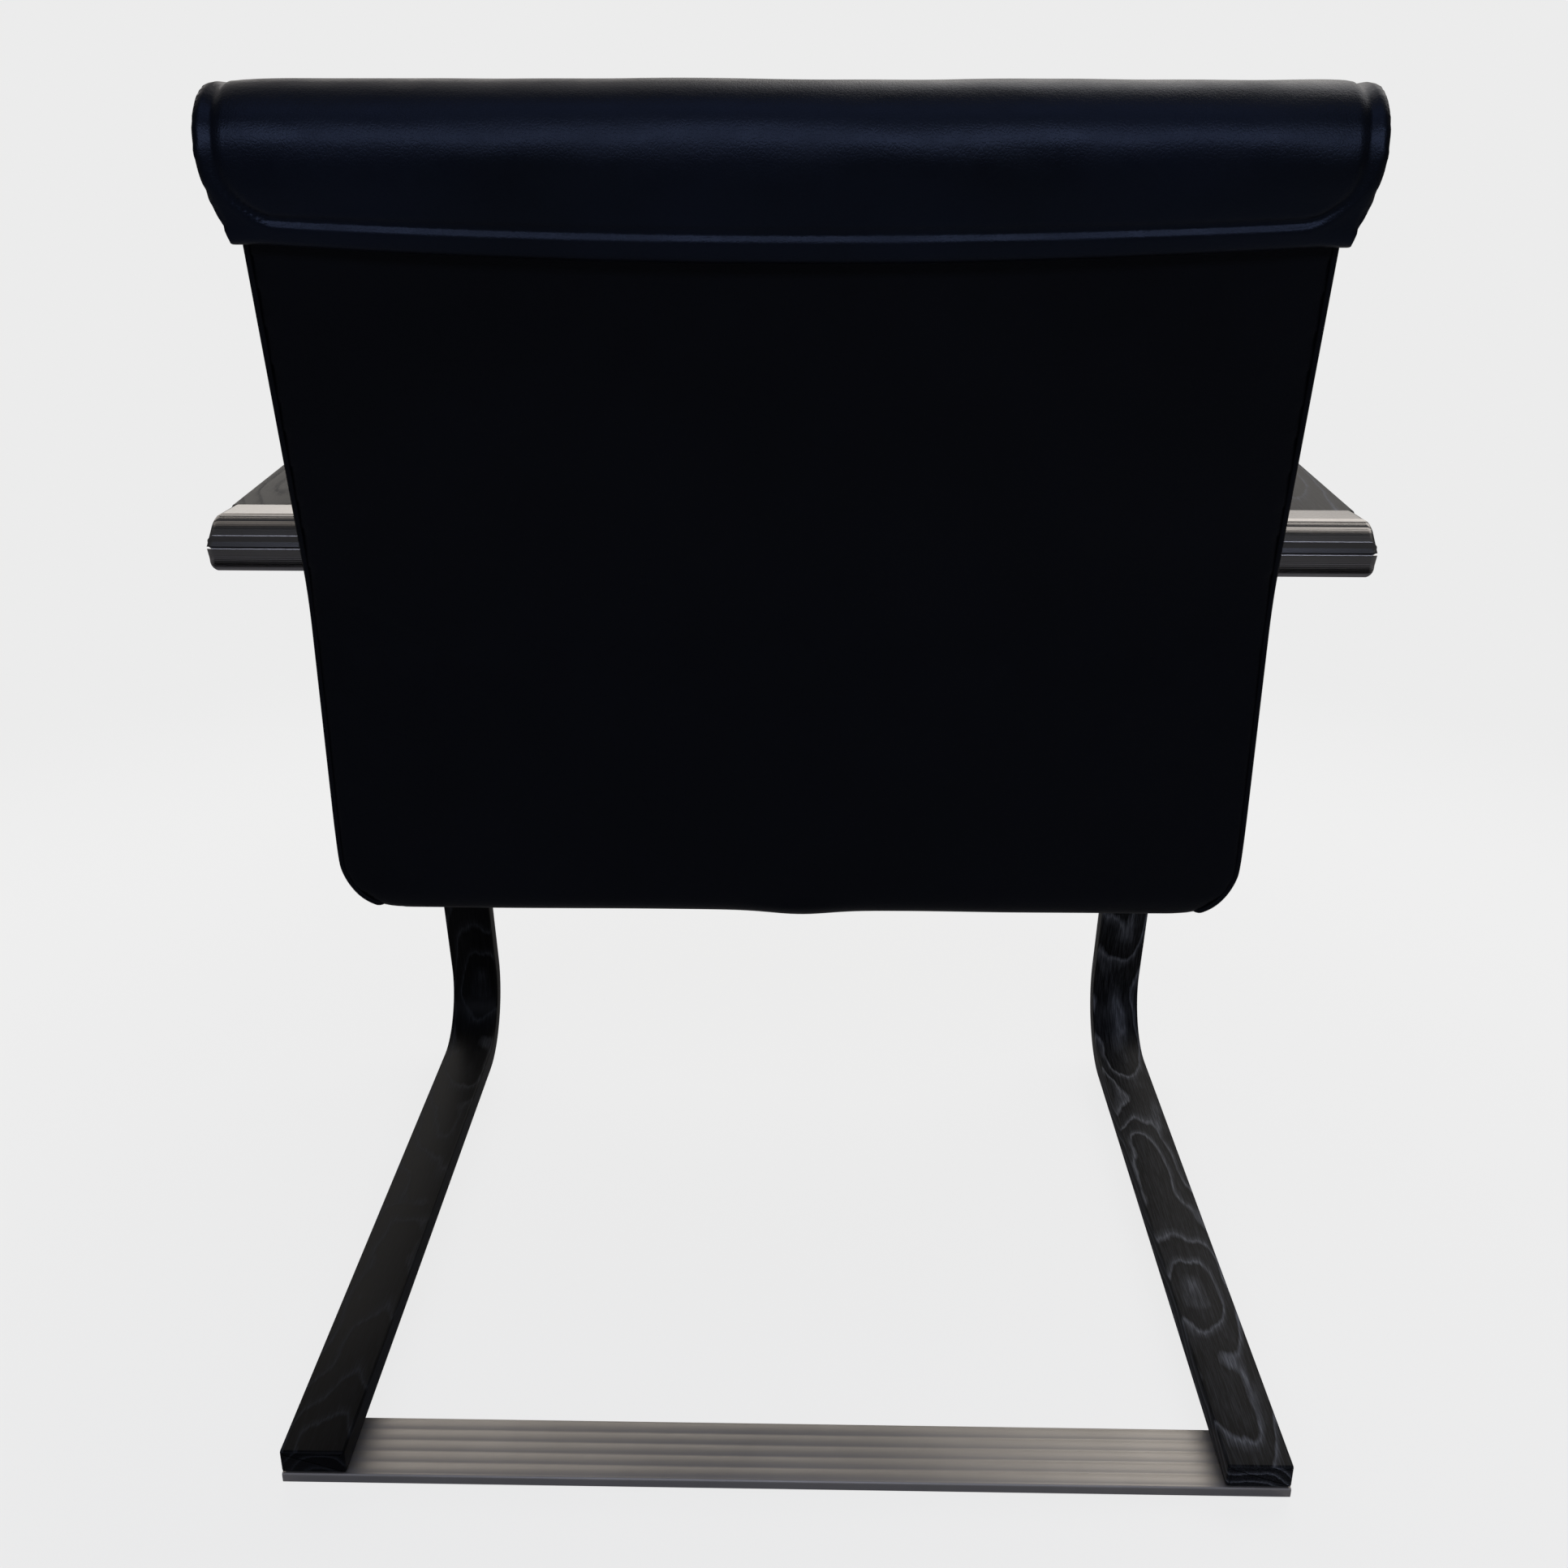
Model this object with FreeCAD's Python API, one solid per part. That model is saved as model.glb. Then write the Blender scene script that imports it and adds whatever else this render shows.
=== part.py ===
import FreeCAD, Part
import math
import os
from FreeCAD import Vector

# Lengths are in millimetres and angles in degrees.
# The chair faces -Y, Z is up and X runs across it. Places along the chair are written as a
# depth: the distance forward of the rear edge of the base rail.

# Overall size
overall_width = 680.0
overall_depth = 600.0

# Bent ash strip of the two side frames
strip_width = 44.0
strip_thickness = 18.0
strip_edge_bevel = 1.4
bottom_bend_radius = 55.0
top_bend_radius = 60.0
upright_lean = 9.0
arm_slope = 3.8
seat_overhang = 16.0

# Base rail, a flat ribbed extrusion, with the dark strip that it stands on
base_rail_depth = 53.0
base_rail_thickness = 8.5
base_rail_edge = 1.6
rib_count = 5
rib_height = 0.7
rib_land = 1.0
base_strip_thickness = 2.5
base_strip_margin = 4.0
front_glide_length = 40.0
front_glide_width = 30.0
front_glide_round = 5.0

# Arm rail, a solid bar across the back
arm_rail_inset = 85.0
arm_rail_depth = 49.0
arm_rail_height = 29.0
arm_height = 642.0
nose_run = 15.0
nose_drop = 12.0
nose_radius = 26.0
nose_foot_radius = 6.0
rail_bottom_radius = 5.5
rail_end_round = 4.0
rail_groove_height = 1.2
rail_groove_depth = 1.0

# Tongues that join the arms to the arm rail
tongue_width = 22.0
tongue_thickness = 6.0
tongue_length = 76.0
tongue_in_rail = 28.0
tongue_clearance = 0.2

# Seat rail behind the uprights
seat_rail_height = 45.0
seat_rail_thickness = 8.5
seat_rail_drop = 5.0

# Upholstered body
body_to_arm_gap = 17.0
back_inset = 72.0
underside_height = 395.0
seat_pitch = 1.5
seat_base_depth = 30.0
back_top_height = 848.0
back_bend_drop = 39.0
back_recline = 12.0
back_bend_radius = 300.0
heel_radius = 16.0
corner_radius = 42.0
toe_radius = 14.0
crest_radius = 10.0
cover_wall = 7.0
cover_split = 165.0
rail_slot_clearance = 3.5

# Moulded plywood shell inside the body
core_thickness = 10.0
core_bend_radius = 24.0
core_kink_rise = 16.0
core_recline = 17.0
core_kink_radius = 80.0
core_clearance = 0.8
seat_front_lip = 13.0

# Cushions
soft_clearance = 0.4
least_bulge = 0.01
rim_angle = 65.0
rim_steps = 2
rim_side_share = 0.5
rim_end_share = 0.25
seat_pad_thickness = 25.0
seat_crown = 6.0
back_pad_thickness = 30.0
back_crown = 7.0
cushion_edge_round = 8.0
cushion_back_round = 3.0
side_draw = 3.0
front_nose_radius = 16.0
lip_rear_round = 3.0
lip_front_round = 4.0
seat_heel_radius = 11.0
back_cushion_levels = 2

# Headrest: a padded hood over the top of the back, with a thicker pad in front
headrest_rise = 25.0
headrest_overhang = 12.5
hood_hem_overhang = 2.5
hood_drop = 58.0
hood_thickness = 15.0
hood_top_round = 32.0
hood_corner_radius = 14.0
hood_gap = 1.5
hood_full_drop = 2.0
hood_hem_round = 6.0
hood_levels = 3
hood_mouth_round = 2.0
headrest_end_round = 10.0
headrest_pad_thickness = 32.0
headrest_pad_drop = 136.0
headrest_pad_round = 13.0
strip_pad_height = 22.0
strip_pad_length = 380.0
headrest_pad_crown = 4.0

# Fasteners
bolt_diameter = 6.0
bolt_head_width = 10.0
bolt_head_height = 3.6
counterbore_diameter = 12.0
hole_clearance = 0.2
runner_bolt_grip = 11.0
upright_bolt_grip = 12.0
bolt_pair_spacing = 24.0
back_bolt_spread = 420.0
back_bolt_spacing = 110.0
back_bolt_rise = 11.5
sleeve_width = 10.0
sleeve_recess = 0.6
set_screw_recess = 0.6
glide_stud_diameter = 7.0
glide_stud_length = 9.0

# Seat brackets, bent steel plate
bracket_width = 60.0
bracket_plate = 4.0
bracket_leg = 34.0
bracket_foot = 46.0
bracket_bend = 5.0
bracket_spread = 300.0
seat_bolt_share = 0.6
spacer_width = 14.0

# Clips between the back cover and the shell
clip_length = 30.0
clip_width = 14.0
clip_hook = 9.0
clip_rows = 3

# Worked out from the sizes above
rear_edge = overall_depth / 2
side_x = overall_width / 2
strip_centre_x = side_x - strip_width / 2
half_body = side_x - strip_width - body_to_arm_gap
half_core = half_body - cover_wall - core_clearance
base_rail_top = base_strip_thickness + base_rail_thickness
arm_rail_front = arm_rail_inset + arm_rail_depth
arm_rail_bottom = arm_height - arm_rail_height
back_bend_height = arm_height - back_bend_drop
core_kink_height = arm_height + core_kink_rise
headrest_top = back_top_height + headrest_rise
hood_bottom_height = back_top_height - hood_drop
hood_full_height = back_top_height - hood_full_drop
headrest_pad_bottom = back_top_height - headrest_pad_drop
core_rear = arm_rail_front
core_front = core_rear + core_thickness
seat_front = overall_depth - seat_front_lip
back_slope = math.tan(math.radians(back_recline))
core_slope = math.tan(math.radians(core_recline))
pitch_slope = math.tan(math.radians(seat_pitch))


# A point on the side view, as depth and height
def flat(depth, height):
    return Vector(depth, height, 0)


# Heights and depths of the body's main surfaces
def underside(depth):
    return underside_height + (depth - back_inset) * pitch_slope


def core_top(depth):
    return underside(depth) + seat_base_depth


def rear_face(height):
    return back_inset - (height - back_bend_height) * back_slope


def core_face(height):
    return core_front - (height - core_kink_height) * core_slope


# Places a side-view point at a distance across the chair
def side_view(x):
    def place(point):
        return Vector(x, rear_edge - point.x, point.y)
    return place


# Places a point given as distance across and depth at a height
def plan_view(height):
    def place(point):
        return Vector(point.x, rear_edge - point.y, height)
    return place


# Closed wire of straight runs joined by tangent arcs. A side with a bulge is a shallow arc
# that stands proud of its straight line by that much at its middle.
def outline(corners, radii, place, bulges=None):
    bulges = bulges or {}
    count = len(corners)
    turns = []
    for index in range(count):
        corner = corners[index]
        back = (corners[index - 1] - corner).normalize()
        onward = (corners[(index + 1) % count] - corner).normalize()
        half_angle = back.getAngle(onward) / 2
        reach = radii[index] / math.tan(half_angle)
        bisector = (back + onward).normalize()
        centre = corner + bisector * (radii[index] / math.sin(half_angle))
        middle = centre - bisector * radii[index]
        turns.append((corner + back * reach, middle, corner + onward * reach))
    edges = []
    for index in range(count):
        start, middle, end = turns[index]
        following = turns[(index + 1) % count][0]
        if radii[index] > 0:
            edges.append(Part.Arc(place(start), place(middle), place(end)).toShape())
        if bulges.get(index, 0.0) > least_bulge:
            along = (following - end).normalize()
            crest = (following + end) * 0.5 + Vector(along.y, -along.x, 0) * bulges[index]
            edges.append(Part.Arc(place(end), place(crest), place(following)).toShape())
        else:
            edges.append(Part.makeLine(place(end), place(following)))
    return Part.Wire(edges)


# Moves each side of a counter-clockwise polygon outwards by its own amount
def shifted(corners, moves):
    count = len(corners)
    lines = []
    for index in range(count):
        start = corners[index]
        along = (corners[(index + 1) % count] - start).normalize()
        outward = Vector(along.y, -along.x, 0)
        lines.append((start + outward * moves[index], along))
    moved = []
    for index in range(count):
        point, along = lines[index - 1]
        other, heading = lines[index]
        gap = other - point
        turn = along.x * heading.y - along.y * heading.x
        reach = (gap.x * heading.y - gap.y * heading.x) / turn
        moved.append(point + along * reach)
    return moved


# Side-view outline pulled across the chair between two places
def prism(corners, radii, x_from, x_to):
    face = Part.Face(outline(corners, radii, side_view(x_from)))
    return face.extrude(Vector(x_to - x_from, 0, 0))


# Outline of a strip of even thickness along a path, given its centre line
def strip_outline(path, bends, half_thickness):
    upper = []
    lower = []
    last = len(path) - 1
    for index in range(len(path)):
        arriving = (path[max(index, 1)] - path[max(index, 1) - 1]).normalize()
        leaving = (path[min(index, last - 1) + 1] - path[min(index, last - 1)]).normalize()
        middle = (arriving + leaving).normalize()
        normal = Vector(-middle.y, middle.x, 0)
        reach = half_thickness / math.cos(arriving.getAngle(leaving) / 2)
        upper.append(path[index] + normal * reach)
        lower.append(path[index] - normal * reach)
    upper_radii = [0.0]
    lower_radii = [0.0]
    for index in range(1, last):
        arriving = path[index] - path[index - 1]
        leaving = path[index + 1] - path[index]
        left_turn = arriving.x * leaving.y - arriving.y * leaving.x > 0
        inner = bends[index - 1]
        upper_radii.append(inner if left_turn else inner + 2 * half_thickness)
        lower_radii.append(inner + 2 * half_thickness if left_turn else inner)
    upper_radii.append(0.0)
    lower_radii.append(0.0)
    corners = lower + upper[::-1]
    radii = lower_radii + upper_radii[::-1]
    return corners, radii


def cylinder(diameter, length, base, direction):
    return Part.makeCylinder(diameter / 2, length, base, direction)


def both_sides(shape):
    return [shape, shape.mirror(Vector(0, 0, 0), Vector(1, 0, 0))]


def export(name, shapes):
    solids = []
    for shape in shapes:
        solids.extend(shape.Solids)
    whole = solids[0] if len(solids) == 1 else Part.makeCompound(solids)
    whole.exportStep("parts/" + name + ".step")


# Hexagon-head bolt whose shank runs from the seat of its head along a direction
def bolt(seat, direction, length):
    head = hexagon_prism(bolt_head_width, bolt_head_height, seat, -direction)
    shank = cylinder(bolt_diameter, length, seat, direction)
    return head.fuse(shank)


def hexagon_prism(across_flats, length, base, direction):
    radius = across_flats / math.sqrt(3)
    sideways = Vector(1, 0, 0)
    upward = direction.cross(sideways).normalize()
    corners = []
    for step in range(6):
        angle = math.radians(60 * step)
        corners.append(base + sideways * radius * math.cos(angle) + upward * radius * math.sin(angle))
    wire = Part.makePolygon(corners + corners[:1])
    return Part.Face(wire).extrude(direction * length)


# Threaded sleeve let into the plywood, hexagonal outside and open at both ends
def threaded_sleeve(face, direction):
    body = hexagon_prism(sleeve_width, core_thickness, face, direction)
    return body.cut(hole(bolt_diameter, core_thickness, face, direction))


def hole(diameter, length, base, direction):
    return cylinder(diameter + hole_clearance, length, base, direction)


# Side frame: the strip's centre line, from the rear end of the runner to the end of the arm
def frame_path():
    half = strip_thickness / 2
    runner_height = base_rail_top + half
    bend_centre = overall_depth - seat_overhang - strip_thickness - bottom_bend_radius
    bend_line = bottom_bend_radius + half
    turn = math.radians(90 + upright_lean)
    foot = flat(bend_centre + bend_line * math.tan(turn / 2), runner_height)
    lean_slope = math.tan(math.radians(upright_lean))
    rise = math.tan(math.radians(arm_slope))
    arm_end = flat(arm_rail_front, arm_height - half / math.cos(math.radians(arm_slope)))
    climb = (arm_end.y + (foot.x - arm_end.x) * rise - foot.y) / (1 + rise * lean_slope)
    shoulder = flat(foot.x - climb * lean_slope, foot.y + climb)
    return [flat(0, runner_height), foot, shoulder, arm_end]


# Unit vector square to the upright's broad rear face, pointing forwards
def upright_normal():
    return Vector(0, -math.cos(math.radians(upright_lean)), math.sin(math.radians(upright_lean)))


# Point on the upright's rear face at a height
def upright_rear(height):
    path = frame_path()
    lean_slope = math.tan(math.radians(upright_lean))
    half_depth = strip_thickness / 2 / math.cos(math.radians(upright_lean))
    return path[1].x - (height - path[1].y) * lean_slope - half_depth


def tongue_direction():
    return Vector(0, -math.cos(math.radians(arm_slope)), math.sin(math.radians(arm_slope)))


def tongue_centre():
    path = frame_path()
    return Vector(0, rear_edge - path[-1].x, path[-1].y)


# Flat steel tongue, half in the rail and half in the arm
def tongue(x, extra):
    along = tongue_direction()
    across = Vector(1, 0, 0)
    up = across.cross(along) * -1
    half_width = tongue_width / 2 + extra
    half_height = tongue_thickness / 2 + extra
    start = tongue_centre() + Vector(x, 0, 0) - along * (tongue_in_rail + extra)
    corners = []
    for sideways, upward in ((-1, -1), (1, -1), (1, 1), (-1, 1)):
        corners.append(start + across * half_width * sideways + up * half_height * upward)
    wire = Part.makePolygon(corners + corners[:1])
    return Part.Face(wire).extrude(along * (tongue_length + 2 * extra))


# Unit vector square to the arm's underside, pointing up
def arm_normal():
    across = Vector(1, 0, 0)
    return across.cross(tongue_direction()) * -1


# Set screws come up against the tongue from the hidden side of rail and arm. Each is given
# by the mouth of its hole and its length up to the tongue.
def set_screw_places(x):
    along = tongue_direction()
    up = arm_normal()
    middle = tongue_centre() + Vector(x, 0, 0)
    in_rail = middle - along * tongue_in_rail / 2
    in_arm = middle + along * (tongue_length - tongue_in_rail) / 2
    rail_length = (in_rail.z - arm_rail_bottom) / up.z - tongue_thickness / 2
    arm_length = (strip_thickness - tongue_thickness) / 2
    places = []
    for point, length in ((in_rail, rail_length), (in_arm, arm_length)):
        mouth = point - up * (length + tongue_thickness / 2)
        places.append((mouth, length))
    return places


def set_screws():
    screws = []
    for x in (-strip_centre_x, strip_centre_x):
        for mouth, length in set_screw_places(x):
            recess = set_screw_recess / arm_normal().z
            base = mouth + arm_normal() * recess
            screws.append(cylinder(bolt_diameter, length - recess, base, arm_normal()))
    return screws


# Hole for a set screw, from below the piece up to the tongue's slot
def set_screw_hole(mouth, length):
    up = arm_normal()
    start = mouth - up * set_screw_recess
    return hole(bolt_diameter, length + set_screw_recess + tongue_thickness / 2, start, up)


def runner_bolt_places():
    depth_step = bolt_pair_spacing / 2
    centre = base_rail_depth / 2
    return [centre - depth_step, centre + depth_step]


def upright_bolt_heights():
    step = bolt_pair_spacing / 2
    return [seat_rail_centre_height() - step, seat_rail_centre_height() + step]


def glide_depth():
    bend_centre = overall_depth - seat_overhang - strip_thickness - bottom_bend_radius
    return bend_centre - front_glide_length / 2


def side_frame(x_centre):
    path = frame_path()
    corners, radii = strip_outline(path, [bottom_bend_radius, top_bend_radius], strip_thickness / 2)
    # the arm's end is cut upright, so that it meets the rail's front face
    frame = prism(corners, radii, x_centre - strip_width / 2, x_centre + strip_width / 2)
    rail_front_face = rear_edge - arm_rail_front
    behind = Part.makeBox(overall_width, arm_rail_depth, strip_thickness * 3)
    behind.translate(Vector(x_centre - side_x, rail_front_face, arm_height - strip_thickness * 2))
    frame = frame.cut(behind)
    frame = frame.makeChamfer(strip_edge_bevel, long_edges(frame, x_centre))
    frame = frame.cut(tongue(x_centre, tongue_clearance))
    for depth in runner_bolt_places():
        mouth = Vector(x_centre, rear_edge - depth, base_rail_top)
        frame = frame.cut(hole(bolt_diameter, runner_bolt_grip, mouth, Vector(0, 0, 1)))
    normal = upright_normal()
    for height in upright_bolt_heights():
        mouth = Vector(x_centre, rear_edge - upright_rear(height), height)
        frame = frame.cut(hole(bolt_diameter, upright_bolt_grip, mouth, normal))
    frame = frame.cut(set_screw_hole(*set_screw_places(x_centre)[1]))
    glide_mouth = Vector(x_centre, rear_edge - glide_depth(), base_rail_top)
    stud_depth = glide_stud_length + hole_clearance
    return frame.cut(hole(glide_stud_diameter, stud_depth, glide_mouth, Vector(0, 0, 1)))


# Edges that run along both side faces of a strip
def long_edges(shape, x_centre):
    found = []
    for edge in shape.Edges:
        box = edge.BoundBox
        on_side = abs(abs(box.XMin - x_centre) - strip_width / 2) < strip_edge_bevel / 10
        if on_side and box.XLength < strip_edge_bevel / 10:
            found.append(edge)
    return found


# Base rail: a flat bar whose top carries soft ribs along its whole length
def ribbed_bar(depth, thickness):
    pitch = (depth - 2 * base_rail_edge) / rib_count
    points = [flat(base_rail_edge, 0), flat(depth - base_rail_edge, 0)]
    edges = [Part.makeLine(points[0], points[1])]
    rim = thickness - rib_height
    edges.append(Part.makeLine(points[1], flat(depth, base_rail_edge)))
    edges.append(Part.makeLine(flat(depth, base_rail_edge), flat(depth, rim - base_rail_edge)))
    edges.append(Part.makeLine(flat(depth, rim - base_rail_edge), flat(depth - base_rail_edge, rim)))
    place = depth - base_rail_edge
    for rib in range(rib_count):
        land_end = place - rib_land / 2
        rib_end = place - pitch + rib_land / 2
        rib_crown = flat((land_end + rib_end) / 2, thickness)
        edges.append(Part.makeLine(flat(place, rim), flat(land_end, rim)))
        edges.append(Part.Arc(flat(land_end, rim), rib_crown, flat(rib_end, rim)).toShape())
        edges.append(Part.makeLine(flat(rib_end, rim), flat(place - pitch, rim)))
        place = place - pitch
    edges.append(Part.makeLine(flat(place, rim), flat(0, rim - base_rail_edge)))
    edges.append(Part.makeLine(flat(0, rim - base_rail_edge), flat(0, base_rail_edge)))
    edges.append(Part.makeLine(flat(0, base_rail_edge), points[0]))
    profile = Part.Face(Part.Wire(edges))
    bar = profile.extrude(Vector(0, 0, overall_width))
    # turned so that the length lies across the chair, ribs up
    bar.rotate(Vector(0, 0, 0), Vector(1, 0, 0), 90)
    bar.rotate(Vector(0, 0, 0), Vector(0, 0, 1), 90)
    return bar


def base_rail():
    rail = ribbed_bar(base_rail_depth, base_rail_thickness)
    rail.rotate(Vector(0, 0, 0), Vector(0, 0, 1), 180)
    rail.translate(Vector(side_x, rear_edge, base_strip_thickness))
    for x in (-strip_centre_x, strip_centre_x):
        for depth in runner_bolt_places():
            centre = Vector(x, rear_edge - depth, base_strip_thickness)
            rail = rail.cut(hole(bolt_diameter, base_rail_thickness, centre, Vector(0, 0, 1)))
            rail = rail.cut(hole(counterbore_diameter, bolt_head_height, centre, Vector(0, 0, 1)))
    return rail


def base_strip():
    depth = base_rail_depth - 2 * base_strip_margin
    length = overall_width - 2 * base_strip_margin
    strip = Part.makeBox(length, depth, base_strip_thickness)
    strip.translate(Vector(-length / 2, rear_edge - base_strip_margin - depth, 0))
    upright_corners = [edge for edge in strip.Edges if edge.BoundBox.ZLength > base_strip_thickness / 2]
    return strip.makeFillet(base_strip_margin, upright_corners)


# Front glide: a moulded foot under the runner, with a stud pressed up into the wood
def front_glide(x):
    glide = Part.makeBox(front_glide_width, front_glide_length, base_rail_top)
    rear = rear_edge - glide_depth() - front_glide_length / 2
    glide.translate(Vector(x - front_glide_width / 2, rear, 0))
    upright_corners = [edge for edge in glide.Edges if edge.BoundBox.ZLength > base_rail_top / 2]
    glide = glide.makeFillet(front_glide_round, upright_corners)
    stud_base = Vector(x, rear_edge - glide_depth(), base_rail_top)
    return glide.fuse(cylinder(glide_stud_diameter, glide_stud_length, stud_base, Vector(0, 0, 1)))


# Arm rail: flat top, rounded nose at the rear and a fine groove along the rear face
def arm_rail():
    top_rear = flat(arm_rail_inset + nose_run, arm_height)
    nose_foot = flat(arm_rail_inset, arm_height - nose_drop)
    corners = [
        flat(arm_rail_inset, arm_rail_bottom),
        flat(arm_rail_front, arm_rail_bottom),
        flat(arm_rail_front, arm_height),
        top_rear,
        nose_foot,
    ]
    radii = [rail_bottom_radius, 0.0, 0.0, nose_radius, nose_foot_radius]
    rail = prism(corners, radii, -side_x, side_x)
    ends = []
    front_y = rear_edge - arm_rail_front
    for edge in rail.Edges:
        box = edge.BoundBox
        at_end = box.XLength < rail_end_round / 10
        in_front = abs(box.YMax - front_y) < rail_end_round / 10
        if at_end and not in_front:
            ends.append(edge)
    rail = rail.makeFillet(rail_end_round, ends)
    groove_low = arm_height - nose_drop - nose_foot_radius / 2 - rail_groove_height
    groove = Part.makeBox(overall_width, rail_groove_depth * 2, rail_groove_height)
    groove.translate(Vector(-side_x, rear_edge - arm_rail_inset - rail_groove_depth, groove_low))
    rail = rail.cut(groove)
    for x in (-strip_centre_x, strip_centre_x):
        rail = rail.cut(tongue(x, tongue_clearance))
        rail = rail.cut(set_screw_hole(*set_screw_places(x)[0]))
    for x in back_bolt_places():
        seat = Vector(x, rear_edge - arm_rail_inset, back_bolt_height())
        rail = rail.cut(hole(bolt_diameter, arm_rail_depth, seat, Vector(0, -1, 0)))
    return rail


def back_bolt_height():
    return arm_rail_bottom + back_bolt_rise


def back_bolt_places():
    outer = back_bolt_spread / 2
    inner = outer - back_bolt_spacing
    return [-outer, -inner, inner, outer]


def back_bolts():
    bolts = []
    for x in back_bolt_places():
        seat = Vector(x, rear_edge - arm_rail_inset, back_bolt_height())
        bolts.append(bolt(seat, Vector(0, -1, 0), arm_rail_depth + core_thickness - sleeve_recess))
    return bolts


def back_sleeve_faces():
    return [Vector(x, rear_edge - core_front, back_bolt_height()) for x in back_bolt_places()]


# Seat rail: a flat bar behind both uprights, leaning with them
def seat_rail_top_height():
    depth = upright_rear(underside_height) - seat_rail_thickness
    return underside(depth) - seat_rail_drop


def seat_rail_centre_height():
    lean = math.radians(upright_lean)
    drop = seat_rail_height / 2 * math.cos(lean) + seat_rail_thickness * math.sin(lean)
    return seat_rail_top_height() - drop


def seat_rail():
    lean = math.radians(upright_lean)
    centre_height = seat_rail_centre_height()
    centre = flat(upright_rear(centre_height), centre_height)
    up = Vector(-math.sin(lean), math.cos(lean), 0)
    rearward = Vector(-math.cos(lean), -math.sin(lean), 0)
    half = seat_rail_height / 2
    corners = [
        centre - up * half + rearward * seat_rail_thickness,
        centre - up * half,
        centre + up * half,
        centre + up * half + rearward * seat_rail_thickness,
    ]
    rail = prism(corners, [0.0] * len(corners), -side_x, side_x)
    normal = upright_normal()
    for x in (-strip_centre_x, strip_centre_x):
        for height in upright_bolt_heights():
            seat = Vector(x, rear_edge - upright_rear(height), height) - normal * seat_rail_thickness
            rail = rail.cut(hole(bolt_diameter, seat_rail_thickness, seat, normal))
    for x in bracket_places():
        rail = rail.cut(hole(bolt_diameter, seat_rail_thickness, bracket_screw_seat(x), normal))
    return rail


def upright_bolts():
    normal = upright_normal()
    bolts = []
    for x in (-strip_centre_x, strip_centre_x):
        for height in upright_bolt_heights():
            rear = Vector(x, rear_edge - upright_rear(height), height) - normal * seat_rail_thickness
            bolts.append(bolt(rear, normal, seat_rail_thickness + upright_bolt_grip - hole_clearance))
    return bolts


def runner_bolts():
    bolts = []
    length = base_rail_thickness - bolt_head_height + runner_bolt_grip - hole_clearance
    for x in (-strip_centre_x, strip_centre_x):
        for depth in runner_bolt_places():
            seat = Vector(x, rear_edge - depth, base_strip_thickness + bolt_head_height)
            bolts.append(bolt(seat, Vector(0, 0, 1), length))
    return bolts


# Seat brackets: bent plate, one leg on the seat rail's rear face and one under the seat
def bracket_places():
    return [-bracket_spread / 2, bracket_spread / 2]


def bracket_path():
    lean = math.radians(upright_lean)
    pitch = math.radians(seat_pitch)
    half = bracket_plate / 2
    down = Vector(math.sin(lean), -math.cos(lean), 0)
    rearward = Vector(-math.cos(lean), -math.sin(lean), 0)
    back = Vector(-math.cos(pitch), -math.sin(pitch), 0)
    rail_height = seat_rail_top_height()
    on_rail = flat(upright_rear(rail_height), rail_height) + rearward * (seat_rail_thickness + half)
    on_seat = flat(back_inset, underside_height - half / math.cos(pitch))
    # corner where the two centre lines meet
    gap = on_seat - on_rail
    reach = (gap.x * back.y - gap.y * back.x) / (down.x * back.y - down.y * back.x)
    corner = on_rail + down * reach
    return [corner + down * bracket_leg, corner, corner + back * bracket_foot]


def bracket(x):
    path = bracket_path()
    corners, radii = strip_outline(path, [bracket_bend], bracket_plate / 2)
    plate = prism(corners, radii, x - bracket_width / 2, x + bracket_width / 2)
    normal = upright_normal()
    seat = bracket_screw_seat(x) - normal * bracket_plate
    plate = plate.cut(hole(bolt_diameter, bracket_plate, seat, normal))
    return plate.cut(hole(bolt_diameter, bracket_plate, seat_bolt_seat(x), seat_normal()))


# Where a bracket screw enters the rear face of the seat rail
def bracket_screw_seat(x):
    path = bracket_path()
    half_way = (path[0] + path[1]) * 0.5
    lean = math.radians(upright_lean)
    forward = Vector(math.cos(lean), math.sin(lean), 0)
    point = half_way + forward * bracket_plate / 2
    return Vector(x, rear_edge - point.x, point.y)


def bracket_bolts():
    normal = upright_normal()
    bolts = []
    for x in bracket_places():
        seat = bracket_screw_seat(x) - normal * bracket_plate
        bolts.append(bolt(seat, normal, bracket_plate + seat_rail_thickness))
    return bolts


def seat_normal():
    pitch = math.radians(seat_pitch)
    return Vector(0, math.sin(pitch), math.cos(pitch))


# Where a seat bolt's head bears on the underside of the bracket's foot
def seat_bolt_seat(x):
    path = bracket_path()
    half_way = path[1] + (path[2] - path[1]) * seat_bolt_share
    pitch = math.radians(seat_pitch)
    down = Vector(math.sin(pitch), -math.cos(pitch), 0)
    point = half_way + down * bracket_plate / 2
    return Vector(x, rear_edge - point.x, point.y)


def seat_stack():
    return seat_base_depth * math.cos(math.radians(seat_pitch))


def seat_bolts():
    length = bracket_plate + seat_stack() - sleeve_recess
    return [bolt(seat_bolt_seat(x), seat_normal(), length) for x in bracket_places()]


def seat_spacers():
    spacers = []
    for x in bracket_places():
        base = seat_bolt_seat(x) + seat_normal() * (bracket_plate + cover_wall)
        length = seat_stack() - cover_wall - core_thickness
        body = hexagon_prism(spacer_width, length, base, seat_normal())
        spacers.append(body.cut(hole(bolt_diameter, length, base, seat_normal())))
    return spacers


def seat_sleeve_faces():
    rise = seat_normal() * (bracket_plate + seat_stack())
    return [seat_bolt_seat(x) + rise for x in bracket_places()]


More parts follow.
